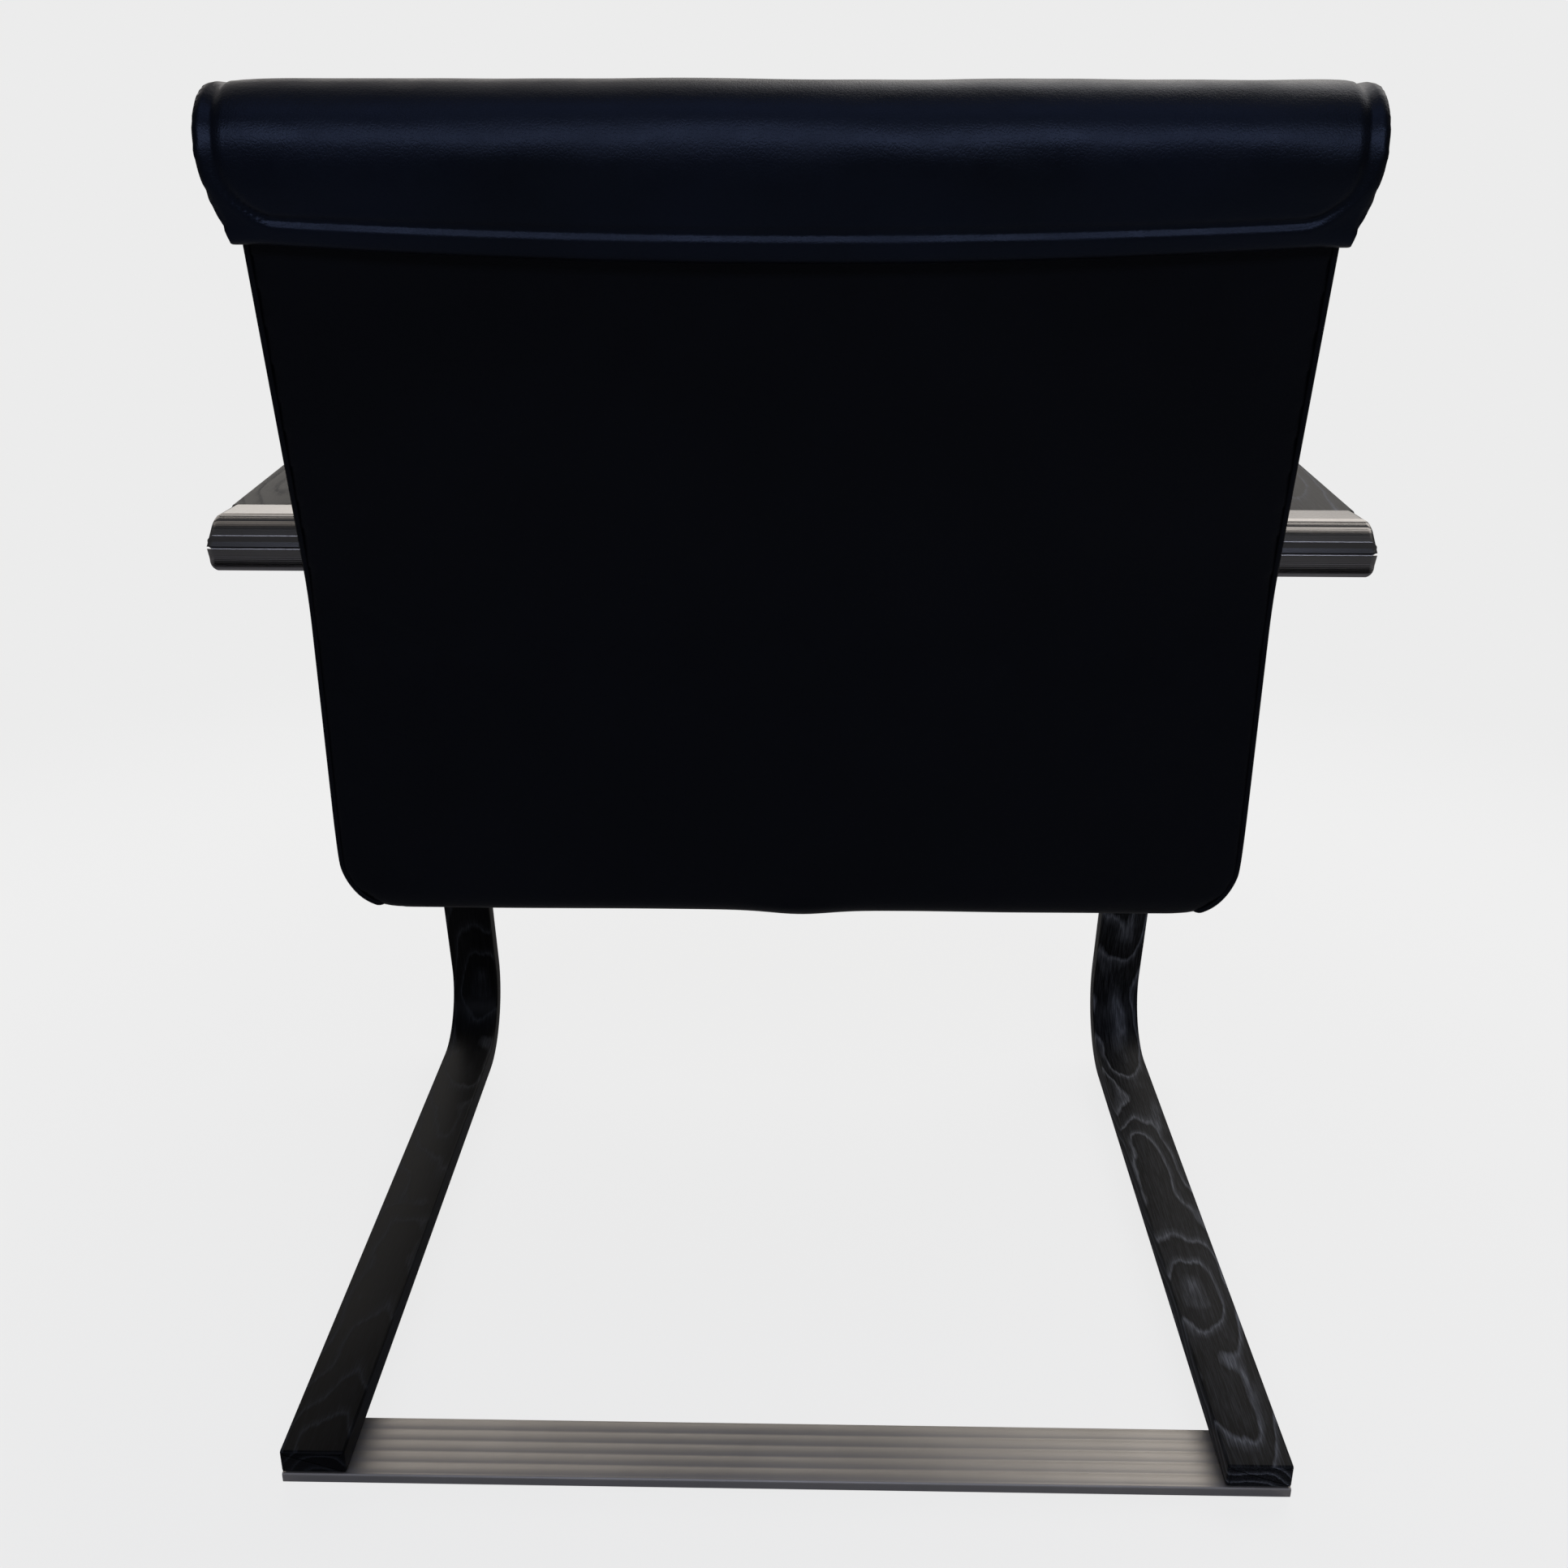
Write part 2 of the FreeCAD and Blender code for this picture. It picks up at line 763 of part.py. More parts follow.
# Side view of the whole hollow body: underside, front, seat, back and rear
def body_corners():
    top_front = flat(core_face(back_top_height), back_top_height)
    top_rear = flat(rear_face(back_top_height), back_top_height)
    return [
        flat(back_inset, underside_height),
        flat(seat_front, underside(seat_front)),
        flat(seat_front, core_top(seat_front)),
        flat(core_front, core_top(core_front)),
        flat(core_front, core_kink_height),
        top_front,
        top_rear,
        flat(back_inset, back_bend_height),
    ]


def body_radii(inset):
    return [
        heel_radius - inset,
        toe_radius - inset,
        0.0,
        core_bend_radius,
        core_kink_radius + core_thickness,
        0.0,
        crest_radius - inset,
        back_bend_radius,
    ]


# Rear view of the body: upright sides and rounded lower corners, drawn in the plane square
# to the seat's underside and pulled forwards along it
def body_mask(inset):
    pitch = math.radians(seat_pitch)
    half = half_body - inset
    high = headrest_top
    radius = corner_radius - inset
    foot = flat(0, underside(0))

    def place(point):
        raised = foot + Vector(-math.sin(pitch), math.cos(pitch), 0) * point.y
        return Vector(point.x, rear_edge - raised.x, raised.y)

    corners = [flat(-half, inset), flat(half, inset), flat(half, high), flat(-half, high)]
    wire = outline(corners, [radius, radius, 0.0, 0.0], place)
    ahead = Vector(0, -math.cos(pitch), math.sin(pitch))
    return Part.Face(wire).extrude(ahead * overall_depth * 2)


# Thin-walled body, open towards the cushions
def hollow_body():
    corners = body_corners()
    outer = prism(corners, body_radii(0.0), -half_body, half_body).common(body_mask(0.0))
    wall = -cover_wall
    open_side = cover_wall
    moves = [wall, wall, open_side, open_side, open_side, wall, wall, wall]
    inner = prism(shifted(corners, moves), inner_radii(), -half_body, half_body)
    return outer.cut(inner.common(body_mask(cover_wall)))


def inner_radii():
    radii = body_radii(cover_wall)
    radii[3] = core_bend_radius - cover_wall
    radii[4] = core_kink_radius + core_thickness + cover_wall
    radii[7] = back_bend_radius + cover_wall
    return radii


def split_box(rear_part):
    box = Part.makeBox(overall_width, overall_depth, headrest_top)
    y_split = rear_edge - cover_split
    if rear_part:
        box.translate(Vector(-side_x, y_split, 0))
    else:
        box.translate(Vector(-side_x, y_split - overall_depth, 0))
    return box


# Back cover: rear panel with side walls that close round the arm rail
def back_cover():
    cover = hollow_body().common(split_box(True))
    slot_height = arm_rail_height + 2 * rail_slot_clearance
    slot_depth = core_front - arm_rail_inset + rail_slot_clearance
    slot = Part.makeBox(overall_width, slot_depth, slot_height)
    slot.translate(Vector(-side_x, rear_edge - core_front, arm_rail_bottom - rail_slot_clearance))
    return cover.cut(slot)


def seat_pan():
    pan = hollow_body().common(split_box(False))
    for x in bracket_places():
        pan = pan.cut(hole(bolt_diameter, cover_wall * 2, seat_bolt_seat(x), seat_normal()))
    return pan


# Plywood shell: one moulded sheet from the front of the seat to the top of the back
def shell_core():
    half = core_thickness / 2
    pitch = math.radians(seat_pitch)
    recline = math.radians(core_recline)
    front_depth = seat_front - cover_wall - core_clearance
    seat_line = core_top(core_front) - half / math.cos(pitch)
    front_height = seat_line + (front_depth - core_front) * pitch_slope
    back_line = core_front - half
    corner = flat(back_line, seat_line - half * pitch_slope)
    kink_shift = half * math.tan(recline / 2)
    kink = flat(back_line, core_kink_height - kink_shift)
    top_height = back_top_height - cover_wall - core_clearance - half * math.sin(recline)
    top = flat(back_line - (top_height - kink.y) * core_slope, top_height)
    path = [top, kink, corner, flat(front_depth, front_height)]
    corners, radii = strip_outline(path, [core_kink_radius, core_bend_radius], half)
    shell = prism(corners, radii, -half_core, half_core)
    shell = shell.common(body_mask(cover_wall + core_clearance))
    for face in back_sleeve_faces():
        shell = shell.cut(hexagon_prism(sleeve_width, core_thickness, face, Vector(0, 1, 0)))
    for face in seat_sleeve_faces():
        shell = shell.cut(hexagon_prism(sleeve_width, core_thickness, face, -seat_normal()))
    return shell


# Clips on the back of the shell, against the side walls of the back cover
def cover_clips():
    clips = []
    low = core_top(core_front) + corner_radius
    high = arm_rail_bottom - rail_slot_clearance - clip_length
    step = (high - low) / (clip_rows - 1)
    for row in range(clip_rows):
        height = low + step * row
        x = half_body - cover_wall - clip_width
        depth = core_rear - clip_width
        clip = Part.makeBox(clip_width, clip_width, clip_length)
        clip.translate(Vector(x, rear_edge - depth - clip_width, height))
        hook = cylinder(clip_hook, clip_length, Vector(x, rear_edge - depth, height), Vector(0, 0, 1))
        clips.extend(both_sides(clip.cut(hook)))
    return clips


# Angles that carry a rounded edge from its start to its rim
def round_angles():
    return [math.radians(rim_angle * step / rim_steps) for step in range(rim_steps + 1)]


# How far a round of a radius has drawn in at an angle
def drawn_in(radius, angle):
    return radius * (1 - math.cos(angle))


# Seat cushion: stations across the seat, softer towards both sides
def seat_cushion():
    last = round_angles()[-1]
    rim = []
    for angle in round_angles():
        place = half_body - cushion_edge_round * (math.sin(last) - math.sin(angle))
        rim.append((place, drawn_in(cushion_edge_round, angle)))
    inner = [(0.0, 0.0), (rim[0][0] / 2, 0.0)]
    right = inner + rim
    left = [(-x, inset) for x, inset in right[:0:-1]]
    wires = []
    for x, inset in left + right:
        crown = max(0.0, 1 - (x / rim[0][0]) ** 2)
        end_move = -inset * rim_end_share
        front_move = -side_draw * crown - inset * rim_side_share
        moves = [0.0, 0.0, end_move, front_move, seat_crown * crown - inset, end_move]
        corners = shifted(seat_cushion_corners(), moves)
        wires.append(outline(corners, seat_cushion_radii(), side_view(x)))
    return Part.makeLoft(wires, True, True)


def seat_cushion_corners():
    rear = core_front + core_bend_radius - seat_heel_radius + soft_clearance
    lip = seat_front + soft_clearance
    lip_bottom = underside(seat_front) + toe_radius
    return [
        flat(rear, core_top(rear) + soft_clearance),
        flat(lip, core_top(lip) + soft_clearance),
        flat(lip, lip_bottom),
        flat(overall_depth, lip_bottom),
        flat(overall_depth, core_top(overall_depth) + seat_pad_thickness),
        flat(rear, core_top(rear) + seat_pad_thickness),
    ]


def seat_cushion_radii():
    return [
        seat_heel_radius,
        soft_clearance,
        lip_rear_round,
        lip_front_round,
        front_nose_radius,
        seat_heel_radius / 2,
    ]


# Heights between which the shell's front face bends back
def bend_span():
    turn = math.radians(core_recline)
    reach = (core_kink_radius + core_thickness) * math.tan(turn / 2)
    return core_kink_height - reach, core_kink_height + reach * math.cos(turn)


# Depth of the shell's bent front face at a height
def bent_face(height):
    radius = core_kink_radius + core_thickness
    start, end = bend_span()
    if height <= start:
        return core_front
    if height >= end:
        return core_face(height)
    return core_front - radius + math.sqrt(radius ** 2 - (height - start) ** 2)


# Closed soft form through plan outlines stacked in height. A level holds its height, half
# width, rear and front depth, and how far its front stands proud at the middle.
def stacked(levels, rear_radius, front_radius):
    wires = []
    for height, half_width, rear, front, crown in levels:
        corners = [
            flat(-half_width, rear),
            flat(half_width, rear),
            flat(half_width, front),
            flat(-half_width, front),
        ]
        radii = [rear_radius, rear_radius, front_radius, front_radius]
        wires.append(outline(corners, radii, plan_view(height), {2: crown}))
    return Part.makeLoft(wires, True, True)


# Rounds off a stack of levels: the lowest ones when turned down, the highest when turned up
def round_off(end_height, radius, upwards):
    last = round_angles()[-1]
    steps = []
    for angle in round_angles():
        away = radius * (math.sin(last) - math.sin(angle))
        height = end_height - away if upwards else end_height + away
        steps.append((height, drawn_in(radius, angle)))
    return steps if upwards else steps[::-1]


def evenly(low, high, count):
    return [low + (high - low) * step / (count + 1) for step in range(1, count + 1)]


# Back cushion: levels up the back, its sides drawn in between the corners
def back_cushion():
    low = seat_cushion_corners()[5].y + seat_crown + soft_clearance
    lower = round_off(low, cushion_edge_round, False)
    upper = round_off(back_top_height, cushion_edge_round, True)
    start, end = bend_span()
    below = evenly(lower[-1][0], start, back_cushion_levels)
    above = evenly(headrest_pad_bottom, upper[0][0], back_cushion_levels)
    heights = below + [start, (start + end) / 2, end, headrest_pad_bottom] + above
    middle = [(height, 0.0) for height in heights]
    levels = []
    for height, inset in lower + middle + upper:
        share = (height - low) / (back_top_height - low)
        pull = side_draw * math.sin(math.pi * share)
        proud = (height - low) / (headrest_pad_bottom - low)
        crown = back_crown * math.sin(math.pi * min(proud, 1.0))
        rear = bent_face(height) + soft_clearance
        front = bent_face(height) + back_pad_thickness - inset
        half_width = half_body - pull - inset * rim_side_share
        levels.append((height, half_width, rear, front, crown))
    return stacked(levels, cushion_back_round, cushion_edge_round)


# Half width of the headrest at a height: drawn in to the back at its hem, full above
def headrest_half_width(height):
    share = (height - hood_bottom_height) / (hood_full_height - hood_bottom_height)
    share = max(0.0, min(1.0, share))
    spread = headrest_overhang - hood_hem_overhang
    return half_body + hood_hem_overhang + spread * math.sin(math.pi / 2 * share)


# How far the headrest's ends have rounded in near its top
def end_round(height):
    above = max(0.0, height - headrest_top + headrest_end_round)
    return headrest_end_round - math.sqrt(headrest_end_round ** 2 - above ** 2)


# Hood of the headrest: padded rear flap, ends and top, over the top of the back
def headrest_hood():
    lower = round_off(hood_bottom_height, hood_hem_round, False)
    upper = round_off(headrest_top, hood_top_round, True)
    middle = [(height, 0.0) for height in evenly(lower[-1][0], upper[0][0], hood_levels)]
    levels = []
    for height, inset in lower + middle + upper:
        half_width = headrest_half_width(height) - end_round(height)
        rear = rear_face(height) - hood_gap - hood_thickness + inset
        front = bent_face(height) + back_pad_thickness
        levels.append((height, half_width, rear, front, 0.0))
    hood = stacked(levels, hood_corner_radius, hood_mouth_round)
    return hood.cut(hood_cavity())


# The space inside the hood: the top of the back with a gap all round
def hood_cavity():
    low = hood_bottom_height - hood_thickness
    high = back_top_height + hood_gap
    corners = [
        flat(rear_face(low) - hood_gap, low),
        flat(overall_depth / 2, low),
        flat(overall_depth / 2, high),
        flat(rear_face(high) - hood_gap, high),
    ]
    half = half_body + hood_gap
    return prism(corners, [0.0, 0.0, 0.0, crest_radius], -half, half)


# Front pad of the headrest, a crowned cushion that meets the hood's open front
def headrest_pad():
    lower = round_off(headrest_pad_bottom, headrest_pad_round, False)
    upper = round_off(headrest_top, hood_top_round, True)
    middle = [(height, 0.0) for height in evenly(lower[-1][0], upper[0][0], hood_levels)]
    levels = []
    for height, inset in lower + middle + upper:
        share = (height - headrest_pad_bottom) / (headrest_top - headrest_pad_bottom)
        crown = headrest_pad_crown * math.sin(math.pi * share)
        half_width = headrest_half_width(height) - end_round(height)
        if height < hood_bottom_height:
            half_width = half_width - inset * rim_side_share
        rear = bent_face(height) + back_pad_thickness + 2 * soft_clearance
        front = rear + headrest_pad_thickness - inset
        levels.append((height, half_width, rear, front, crown))
    return stacked(levels, hood_mouth_round, headrest_pad_round / 2)


# Hook-and-loop strip that holds the rear flap to the back cover
def headrest_strip():
    low = hood_bottom_height + strip_pad_height / 2
    high = low + strip_pad_height
    corners = [
        flat(rear_face(low) - hood_gap, low),
        flat(rear_face(low), low),
        flat(rear_face(high), high),
        flat(rear_face(high) - hood_gap, high),
    ]
    return prism(corners, [0.0] * 4, -strip_pad_length / 2, strip_pad_length / 2)


def build():
    os.makedirs("parts", exist_ok=True)
    export("side_frame_left", [side_frame(strip_centre_x)])
    export("side_frame_right", [side_frame(-strip_centre_x)])
    export("base_rail", [base_rail()])
    export("base_strip", [base_strip()])
    export("front_glides", [front_glide(x) for x in (-strip_centre_x, strip_centre_x)])
    export("runner_bolts", runner_bolts())
    export("arm_rail", [arm_rail()])
    export("arm_tongues", [tongue(x, 0.0) for x in (-strip_centre_x, strip_centre_x)])
    export("set_screws", set_screws())
    export("seat_rail", [seat_rail()])
    export("upright_bolts", upright_bolts())
    export("seat_brackets", [bracket(x) for x in bracket_places()])
    export("bracket_bolts", bracket_bolts())
    export("seat_bolts", seat_bolts())
    export("seat_spacers", seat_spacers())
    export("seat_sleeves", [threaded_sleeve(face, -seat_normal()) for face in seat_sleeve_faces()])
    export("back_bolts", back_bolts())
    export("back_sleeves", [threaded_sleeve(face, Vector(0, 1, 0)) for face in back_sleeve_faces()])
    export("shell_core", [shell_core()])
    export("back_cover", [back_cover()])
    export("seat_pan", [seat_pan()])
    export("cover_clips", cover_clips())
    export("seat_cushion", [seat_cushion()])
    export("back_cushion", [back_cushion()])
    export("headrest_hood", [headrest_hood()])
    export("headrest_pad", [headrest_pad()])
    export("headrest_strip", [headrest_strip()])


build()
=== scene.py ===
import math

import bmesh
import bpy
from mathutils import Matrix, Vector, noise


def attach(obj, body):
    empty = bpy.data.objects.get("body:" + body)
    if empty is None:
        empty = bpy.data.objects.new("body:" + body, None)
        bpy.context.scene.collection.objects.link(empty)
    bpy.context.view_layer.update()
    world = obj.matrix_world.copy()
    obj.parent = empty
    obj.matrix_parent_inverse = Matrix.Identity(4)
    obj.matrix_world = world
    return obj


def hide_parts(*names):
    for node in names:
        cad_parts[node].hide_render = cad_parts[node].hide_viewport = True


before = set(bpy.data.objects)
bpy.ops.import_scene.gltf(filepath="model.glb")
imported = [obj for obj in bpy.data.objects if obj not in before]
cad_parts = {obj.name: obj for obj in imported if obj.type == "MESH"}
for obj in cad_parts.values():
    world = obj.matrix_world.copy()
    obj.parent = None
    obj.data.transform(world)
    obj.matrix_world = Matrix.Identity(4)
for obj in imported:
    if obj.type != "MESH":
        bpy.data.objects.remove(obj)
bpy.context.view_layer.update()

# Cantilever chair seen from behind: black stained ash frames, metal rails and black leather.
# The file is in metres, the dictionaries are in millimetres and degrees. The chair faces -Y.
# A depth is a distance forward of the base rail's rear edge, as in the CAD source.

mm = 0.001
rearEdge = 300.0
scene = bpy.context.scene


def report(stage):
    print("chair:", stage)


def at(x, depth, height):
    return Vector((x * mm, (rearEdge - depth) * mm, height * mm))


def smoothStep(low, high, value):
    share = max(0.0, min(1.0, (value - low) / (high - low)))
    return share * share * (3 - 2 * share)


# materials


def srgb(code):
    values = []
    for place in (1, 3, 5):
        part = int(code[place:place + 2], 16) / 255
        values.append(part / 12.92 if part <= 0.04045 else ((part + 0.055) / 1.055) ** 2.4)
    return (*values, 1.0)


# adds a node; the setting "stops" fills a colour ramp, one that names an input goes to that input,
# and any other goes to the node itself
def addNode(tree, kind, settings=None, links=None):
    node = tree.nodes.new("ShaderNode" + kind)
    for key, value in (settings or {}).items():
        if key == "stops":
            points = node.color_ramp.elements
            while len(points) < len(value):
                points.new(0.5)
            for point, (place, colour) in zip(points, value):
                point.position = place
                point.color = colour if isinstance(colour, tuple) else (colour, colour, colour, 1)
        elif isinstance(key, int) or key in node.inputs:
            node.inputs[key].default_value = value
        else:
            setattr(node, key, value)
    for key, socket in (links or {}).items():
        tree.links.new(socket, node.inputs[key])
    return node


def startMaterial(name, settings):
    material = bpy.data.materials.new(name)
    material.use_nodes = True
    shader = material.node_tree.nodes["Principled BSDF"]
    for key, value in settings.items():
        shader.inputs[key].default_value = value
    return material, material.node_tree, shader


# full-grain leather, dyed black with a blue cast: soft broad sheen and a fine pebble. A lighter, bluer upper
# colour, as in the headrest's copy, is painted sheen
def blackLeather(name, mottleAndPaintedSheen, shine, tint):
    grainSize = 2.0 * mm  # real pebble is about 1 mm, drawn coarser so that it shows
    material, tree, shader = startMaterial(
        name, {"IOR": 1.5, "Specular IOR Level": shine, "Specular Tint": tint})
    place = addNode(tree, "TexCoord").outputs["Object"]
    cloud = addNode(tree, "TexNoise", {"Scale": 1 / (90 * mm), "Detail": 3.0}, {"Vector": place})
    # mottle between two near-blacks; in the headrest's copy the upper one is painted sheen
    colour = addNode(tree, "ValToRGB", {"stops": [(0.3, srgb("#040508")), (0.75, srgb(mottleAndPaintedSheen))]},
                     {"Fac": cloud.outputs["Fac"]})
    tree.links.new(colour.outputs["Color"], shader.inputs["Base Color"])
    rub = addNode(tree, "TexNoise", {"Scale": 1 / (35 * mm), "Detail": 5.0, "Roughness": 0.6},
                  {"Vector": place})
    gloss = addNode(tree, "ValToRGB", {"stops": [(0.3, 0.36), (0.7, 0.47)]}, {"Fac": rub.outputs["Fac"]})
    tree.links.new(gloss.outputs["Color"], shader.inputs["Roughness"])
    warp = addNode(tree, "TexNoise", {"Scale": 1 / (6 * mm), "Detail": 2.0}, {"Vector": place})
    bent = addNode(tree, "VectorMath", {"operation": "MULTIPLY_ADD", 1: (grainSize,) * 3},
                   {0: warp.outputs["Color"], 2: place})
    pebble = addNode(tree, "TexVoronoi", {"feature": "DISTANCE_TO_EDGE", "Scale": 1 / grainSize},
                     {"Vector": bent.outputs["Vector"]})
    domed = addNode(tree, "MapRange", {"From Max": 0.25, "interpolation_type": "SMOOTHSTEP"},
                    {"Value": pebble.outputs["Distance"]})
    wrinkle = addNode(tree, "TexNoise", {"Scale": 1 / (18 * mm), "Detail": 4.0, "Roughness": 0.65},
                      {"Vector": place})
    low = addNode(tree, "Bump", {"Strength": 0.22, "Distance": 1.2 * mm}, {"Height": wrinkle.outputs["Fac"]})
    fine = addNode(tree, "Bump", {"Strength": 0.28, "Distance": 0.12 * mm},
                   {"Height": domed.outputs["Result"], "Normal": low.outputs["Normal"]})
    tree.links.new(fine.outputs["Normal"], shader.inputs["Normal"])
    return material


# ash veneer stained black under satin lacquer: the growth rings stay as thin lighter lines
def blackStainedAsh(name, ringToneWithPaintedLight):
    ringWidth = 6.5 * mm
    heartTilt = 0.095  # the rings' heart sinks this much for each unit along the strip
    heartDepth, foldLength, wanderWidth, raggedWidth = 4 * mm, 30 * mm, 34 * mm, 1.6 * mm
    material, tree, shader = startMaterial(name, {"IOR": 1.5, "Specular IOR Level": 0.1})
    grain = addNode(tree, "Attribute", {"attribute_name": "grain"}).outputs["Vector"]
    slow = addNode(tree, "Mapping", {"Scale": (18.0, 9.0, 18.0)}, {"Vector": grain})  # waves of 55 and 110 mm
    wander = addNode(tree, "TexNoise", {"Scale": 1.0, "Detail": 2.0, "Roughness": 0.45},
                     {"Vector": slow.outputs["Vector"]})
    parts = addNode(tree, "SeparateXYZ", links={"Vector": grain})
    tilt = addNode(tree, "Math", {"operation": "MULTIPLY_ADD", 1: heartTilt, 2: heartDepth},
                   {0: parts.outputs["Y"]})
    fold = addNode(tree, "Math", {"operation": "PINGPONG", 1: foldLength}, {0: tilt.outputs["Value"]})
    shake = addNode(tree, "Math", {"operation": "MULTIPLY", 1: wanderWidth}, {0: wander.outputs["Fac"]})
    deep = addNode(tree, "Math", {"operation": "ADD"}, {0: fold.outputs["Value"], 1: shake.outputs["Value"]})
    through = addNode(tree, "Math", {"operation": "ADD"}, {0: deep.outputs["Value"], 1: parts.outputs["Z"]})
    heart = addNode(tree, "CombineXYZ", links={"X": parts.outputs["X"], "Z": through.outputs["Value"]})
    reach = addNode(tree, "VectorMath", {"operation": "LENGTH"}, {0: heart.outputs["Vector"]})
    edge = addNode(tree, "Mapping", {"Scale": (420.0, 60.0, 420.0)}, {"Vector": grain})  # 2.4 by 17 mm
    ragged = addNode(tree, "TexNoise", {"Scale": 1.0, "Detail": 4.0}, {"Vector": edge.outputs["Vector"]})
    rough = addNode(tree, "Math", {"operation": "MULTIPLY_ADD", 1: raggedWidth},
                    {0: ragged.outputs["Fac"], 2: reach.outputs["Value"]})
    rings = addNode(tree, "Math", {"operation": "DIVIDE", 1: ringWidth}, {0: rough.outputs["Value"]})
    turn = addNode(tree, "Math", {"operation": "FRACT"}, {0: rings.outputs["Value"]})
    pores = addNode(tree, "Mapping", {"Scale": (1500.0, 55.0, 1500.0)}, {"Vector": grain})  # 0.7 by 18 mm
    streak = addNode(tree, "TexNoise", {"Scale": 1.0, "Detail": 3.0, "Roughness": 0.6},
                     {"Vector": pores.outputs["Vector"]})
    ringStops = [(0.0, 0.9), (0.1, 0.35), (0.3, 0.05), (0.86, 0.0), (1.0, 0.9)]  # light where a ring starts
    line = addNode(tree, "ValToRGB", {"stops": ringStops}, {"Fac": turn.outputs["Value"]})
    speck = addNode(tree, "ValToRGB", {"stops": [(0.42, 0.0), (0.68, 1.0)]}, {"Fac": streak.outputs["Fac"]})
    broken = addNode(tree, "Math", {"operation": "MULTIPLY_ADD", 1: 0.6, 2: 0.4}, {0: speck.outputs["Color"]})
    shown = addNode(tree, "Math", {"operation": "MULTIPLY"},
                    {0: line.outputs["Color"], 1: broken.outputs["Value"]})
    base = addNode(tree, "Math", {"operation": "MULTIPLY_ADD", 1: 0.12, "use_clamp": True},
                   {0: speck.outputs["Color"], 2: shown.outputs["Value"]})
    # the ring colour is given by the caller and carries the painted light and shade that tell the two sides
    # apart
    colour = addNode(tree, "ValToRGB", {"stops": [(0.0, srgb("#050506")), (1.0, srgb(ringToneWithPaintedLight))]},
                     {"Fac": base.outputs["Value"]})
    tree.links.new(colour.outputs["Color"], shader.inputs["Base Color"])
    gloss = addNode(tree, "ValToRGB", {"stops": [(0.0, 0.42), (1.0, 0.6)]}, {"Fac": base.outputs["Value"]})
    tree.links.new(gloss.outputs["Color"], shader.inputs["Roughness"])
    relief = addNode(tree, "Bump", {"Strength": 0.35, "Distance": 0.15 * mm},
                     {"Height": base.outputs["Value"]})
    tree.links.new(relief.outputs["Normal"], shader.inputs["Normal"])
    return material


# drawn aluminium, satin anodised a warm grey: faint lines along the bar, 1.4 mm wide and 200 mm long,
# which is coarser than real ones so that they show
def anodisedAluminium(name, dark, light, roughness):
    material, tree, shader = startMaterial(name, {"Metallic": 1.0})
    place = addNode(tree, "TexCoord").outputs["Object"]
    drawn = addNode(tree, "Mapping", {"Scale": (5.0, 700.0, 700.0)}, {"Vector": place})
    lines = addNode(tree, "TexNoise", {"Scale": 1.0, "Detail": 3.0, "Roughness": 0.7},
                    {"Vector": drawn.outputs["Vector"]})
    cloud = addNode(tree, "TexNoise", {"Scale": 1 / (60 * mm), "Detail": 3.0}, {"Vector": place})
    colour = addNode(tree, "ValToRGB", {"stops": [(0.3, srgb(dark)), (0.7, srgb(light))]},
                     {"Fac": cloud.outputs["Fac"]})
    tree.links.new(colour.outputs["Color"], shader.inputs["Base Color"])
    gloss = addNode(tree, "ValToRGB", {"stops": [(0.25, roughness - 0.02), (0.75, roughness + 0.03)]},
                    {"Fac": lines.outputs["Fac"]})
    tree.links.new(gloss.outputs["Color"], shader.inputs["Roughness"])
    relief = addNode(tree, "Bump", {"Strength": 0.02, "Distance": 0.02 * mm},
                     {"Height": lines.outputs["Fac"]})
    tree.links.new(relief.outputs["Normal"], shader.inputs["Normal"])
    return material


# zinc-plated steel: small bright crystals with a dull bloom
def zincPlatedSteel():
    material, tree, shader = startMaterial("zincPlatedSteel", {"Metallic": 1.0})
    place = addNode(tree, "TexCoord").outputs["Object"]
    bloom = addNode(tree, "TexNoise", {"Scale": 1 / (4 * mm), "Detail": 5.0}, {"Vector": place})
    colour = addNode(tree, "ValToRGB", {"stops": [(0.35, srgb("#8b8c8e")), (0.7, srgb("#b4b4b2"))]},
                     {"Fac": bloom.outputs["Fac"]})
    tree.links.new(colour.outputs["Color"], shader.inputs["Base Color"])
    gloss = addNode(tree, "ValToRGB", {"stops": [(0.3, 0.28), (0.8, 0.45)]}, {"Fac": bloom.outputs["Fac"]})
    tree.links.new(gloss.outputs["Color"], shader.inputs["Roughness"])
    return material


# powder coat on steel: black with a fine orange-peel
def blackPowderCoat():
    material, tree, shader = startMaterial("blackPowderCoat", {"Base Color": srgb("#121214")})
    place = addNode(tree, "TexCoord").outputs["Object"]
    peel = addNode(tree, "TexNoise", {"Scale": 1 / (1.2 * mm), "Detail": 2.0}, {"Vector": place})
    gloss = addNode(tree, "ValToRGB", {"stops": [(0.3, 0.42), (0.7, 0.55)]}, {"Fac": peel.outputs["Fac"]})
    tree.links.new(gloss.outputs["Color"], shader.inputs["Roughness"])
    relief = addNode(tree, "Bump", {"Strength": 0.25, "Distance": 0.08 * mm}, {"Height": peel.outputs["Fac"]})
    tree.links.new(relief.outputs["Normal"], shader.inputs["Normal"])
    return material


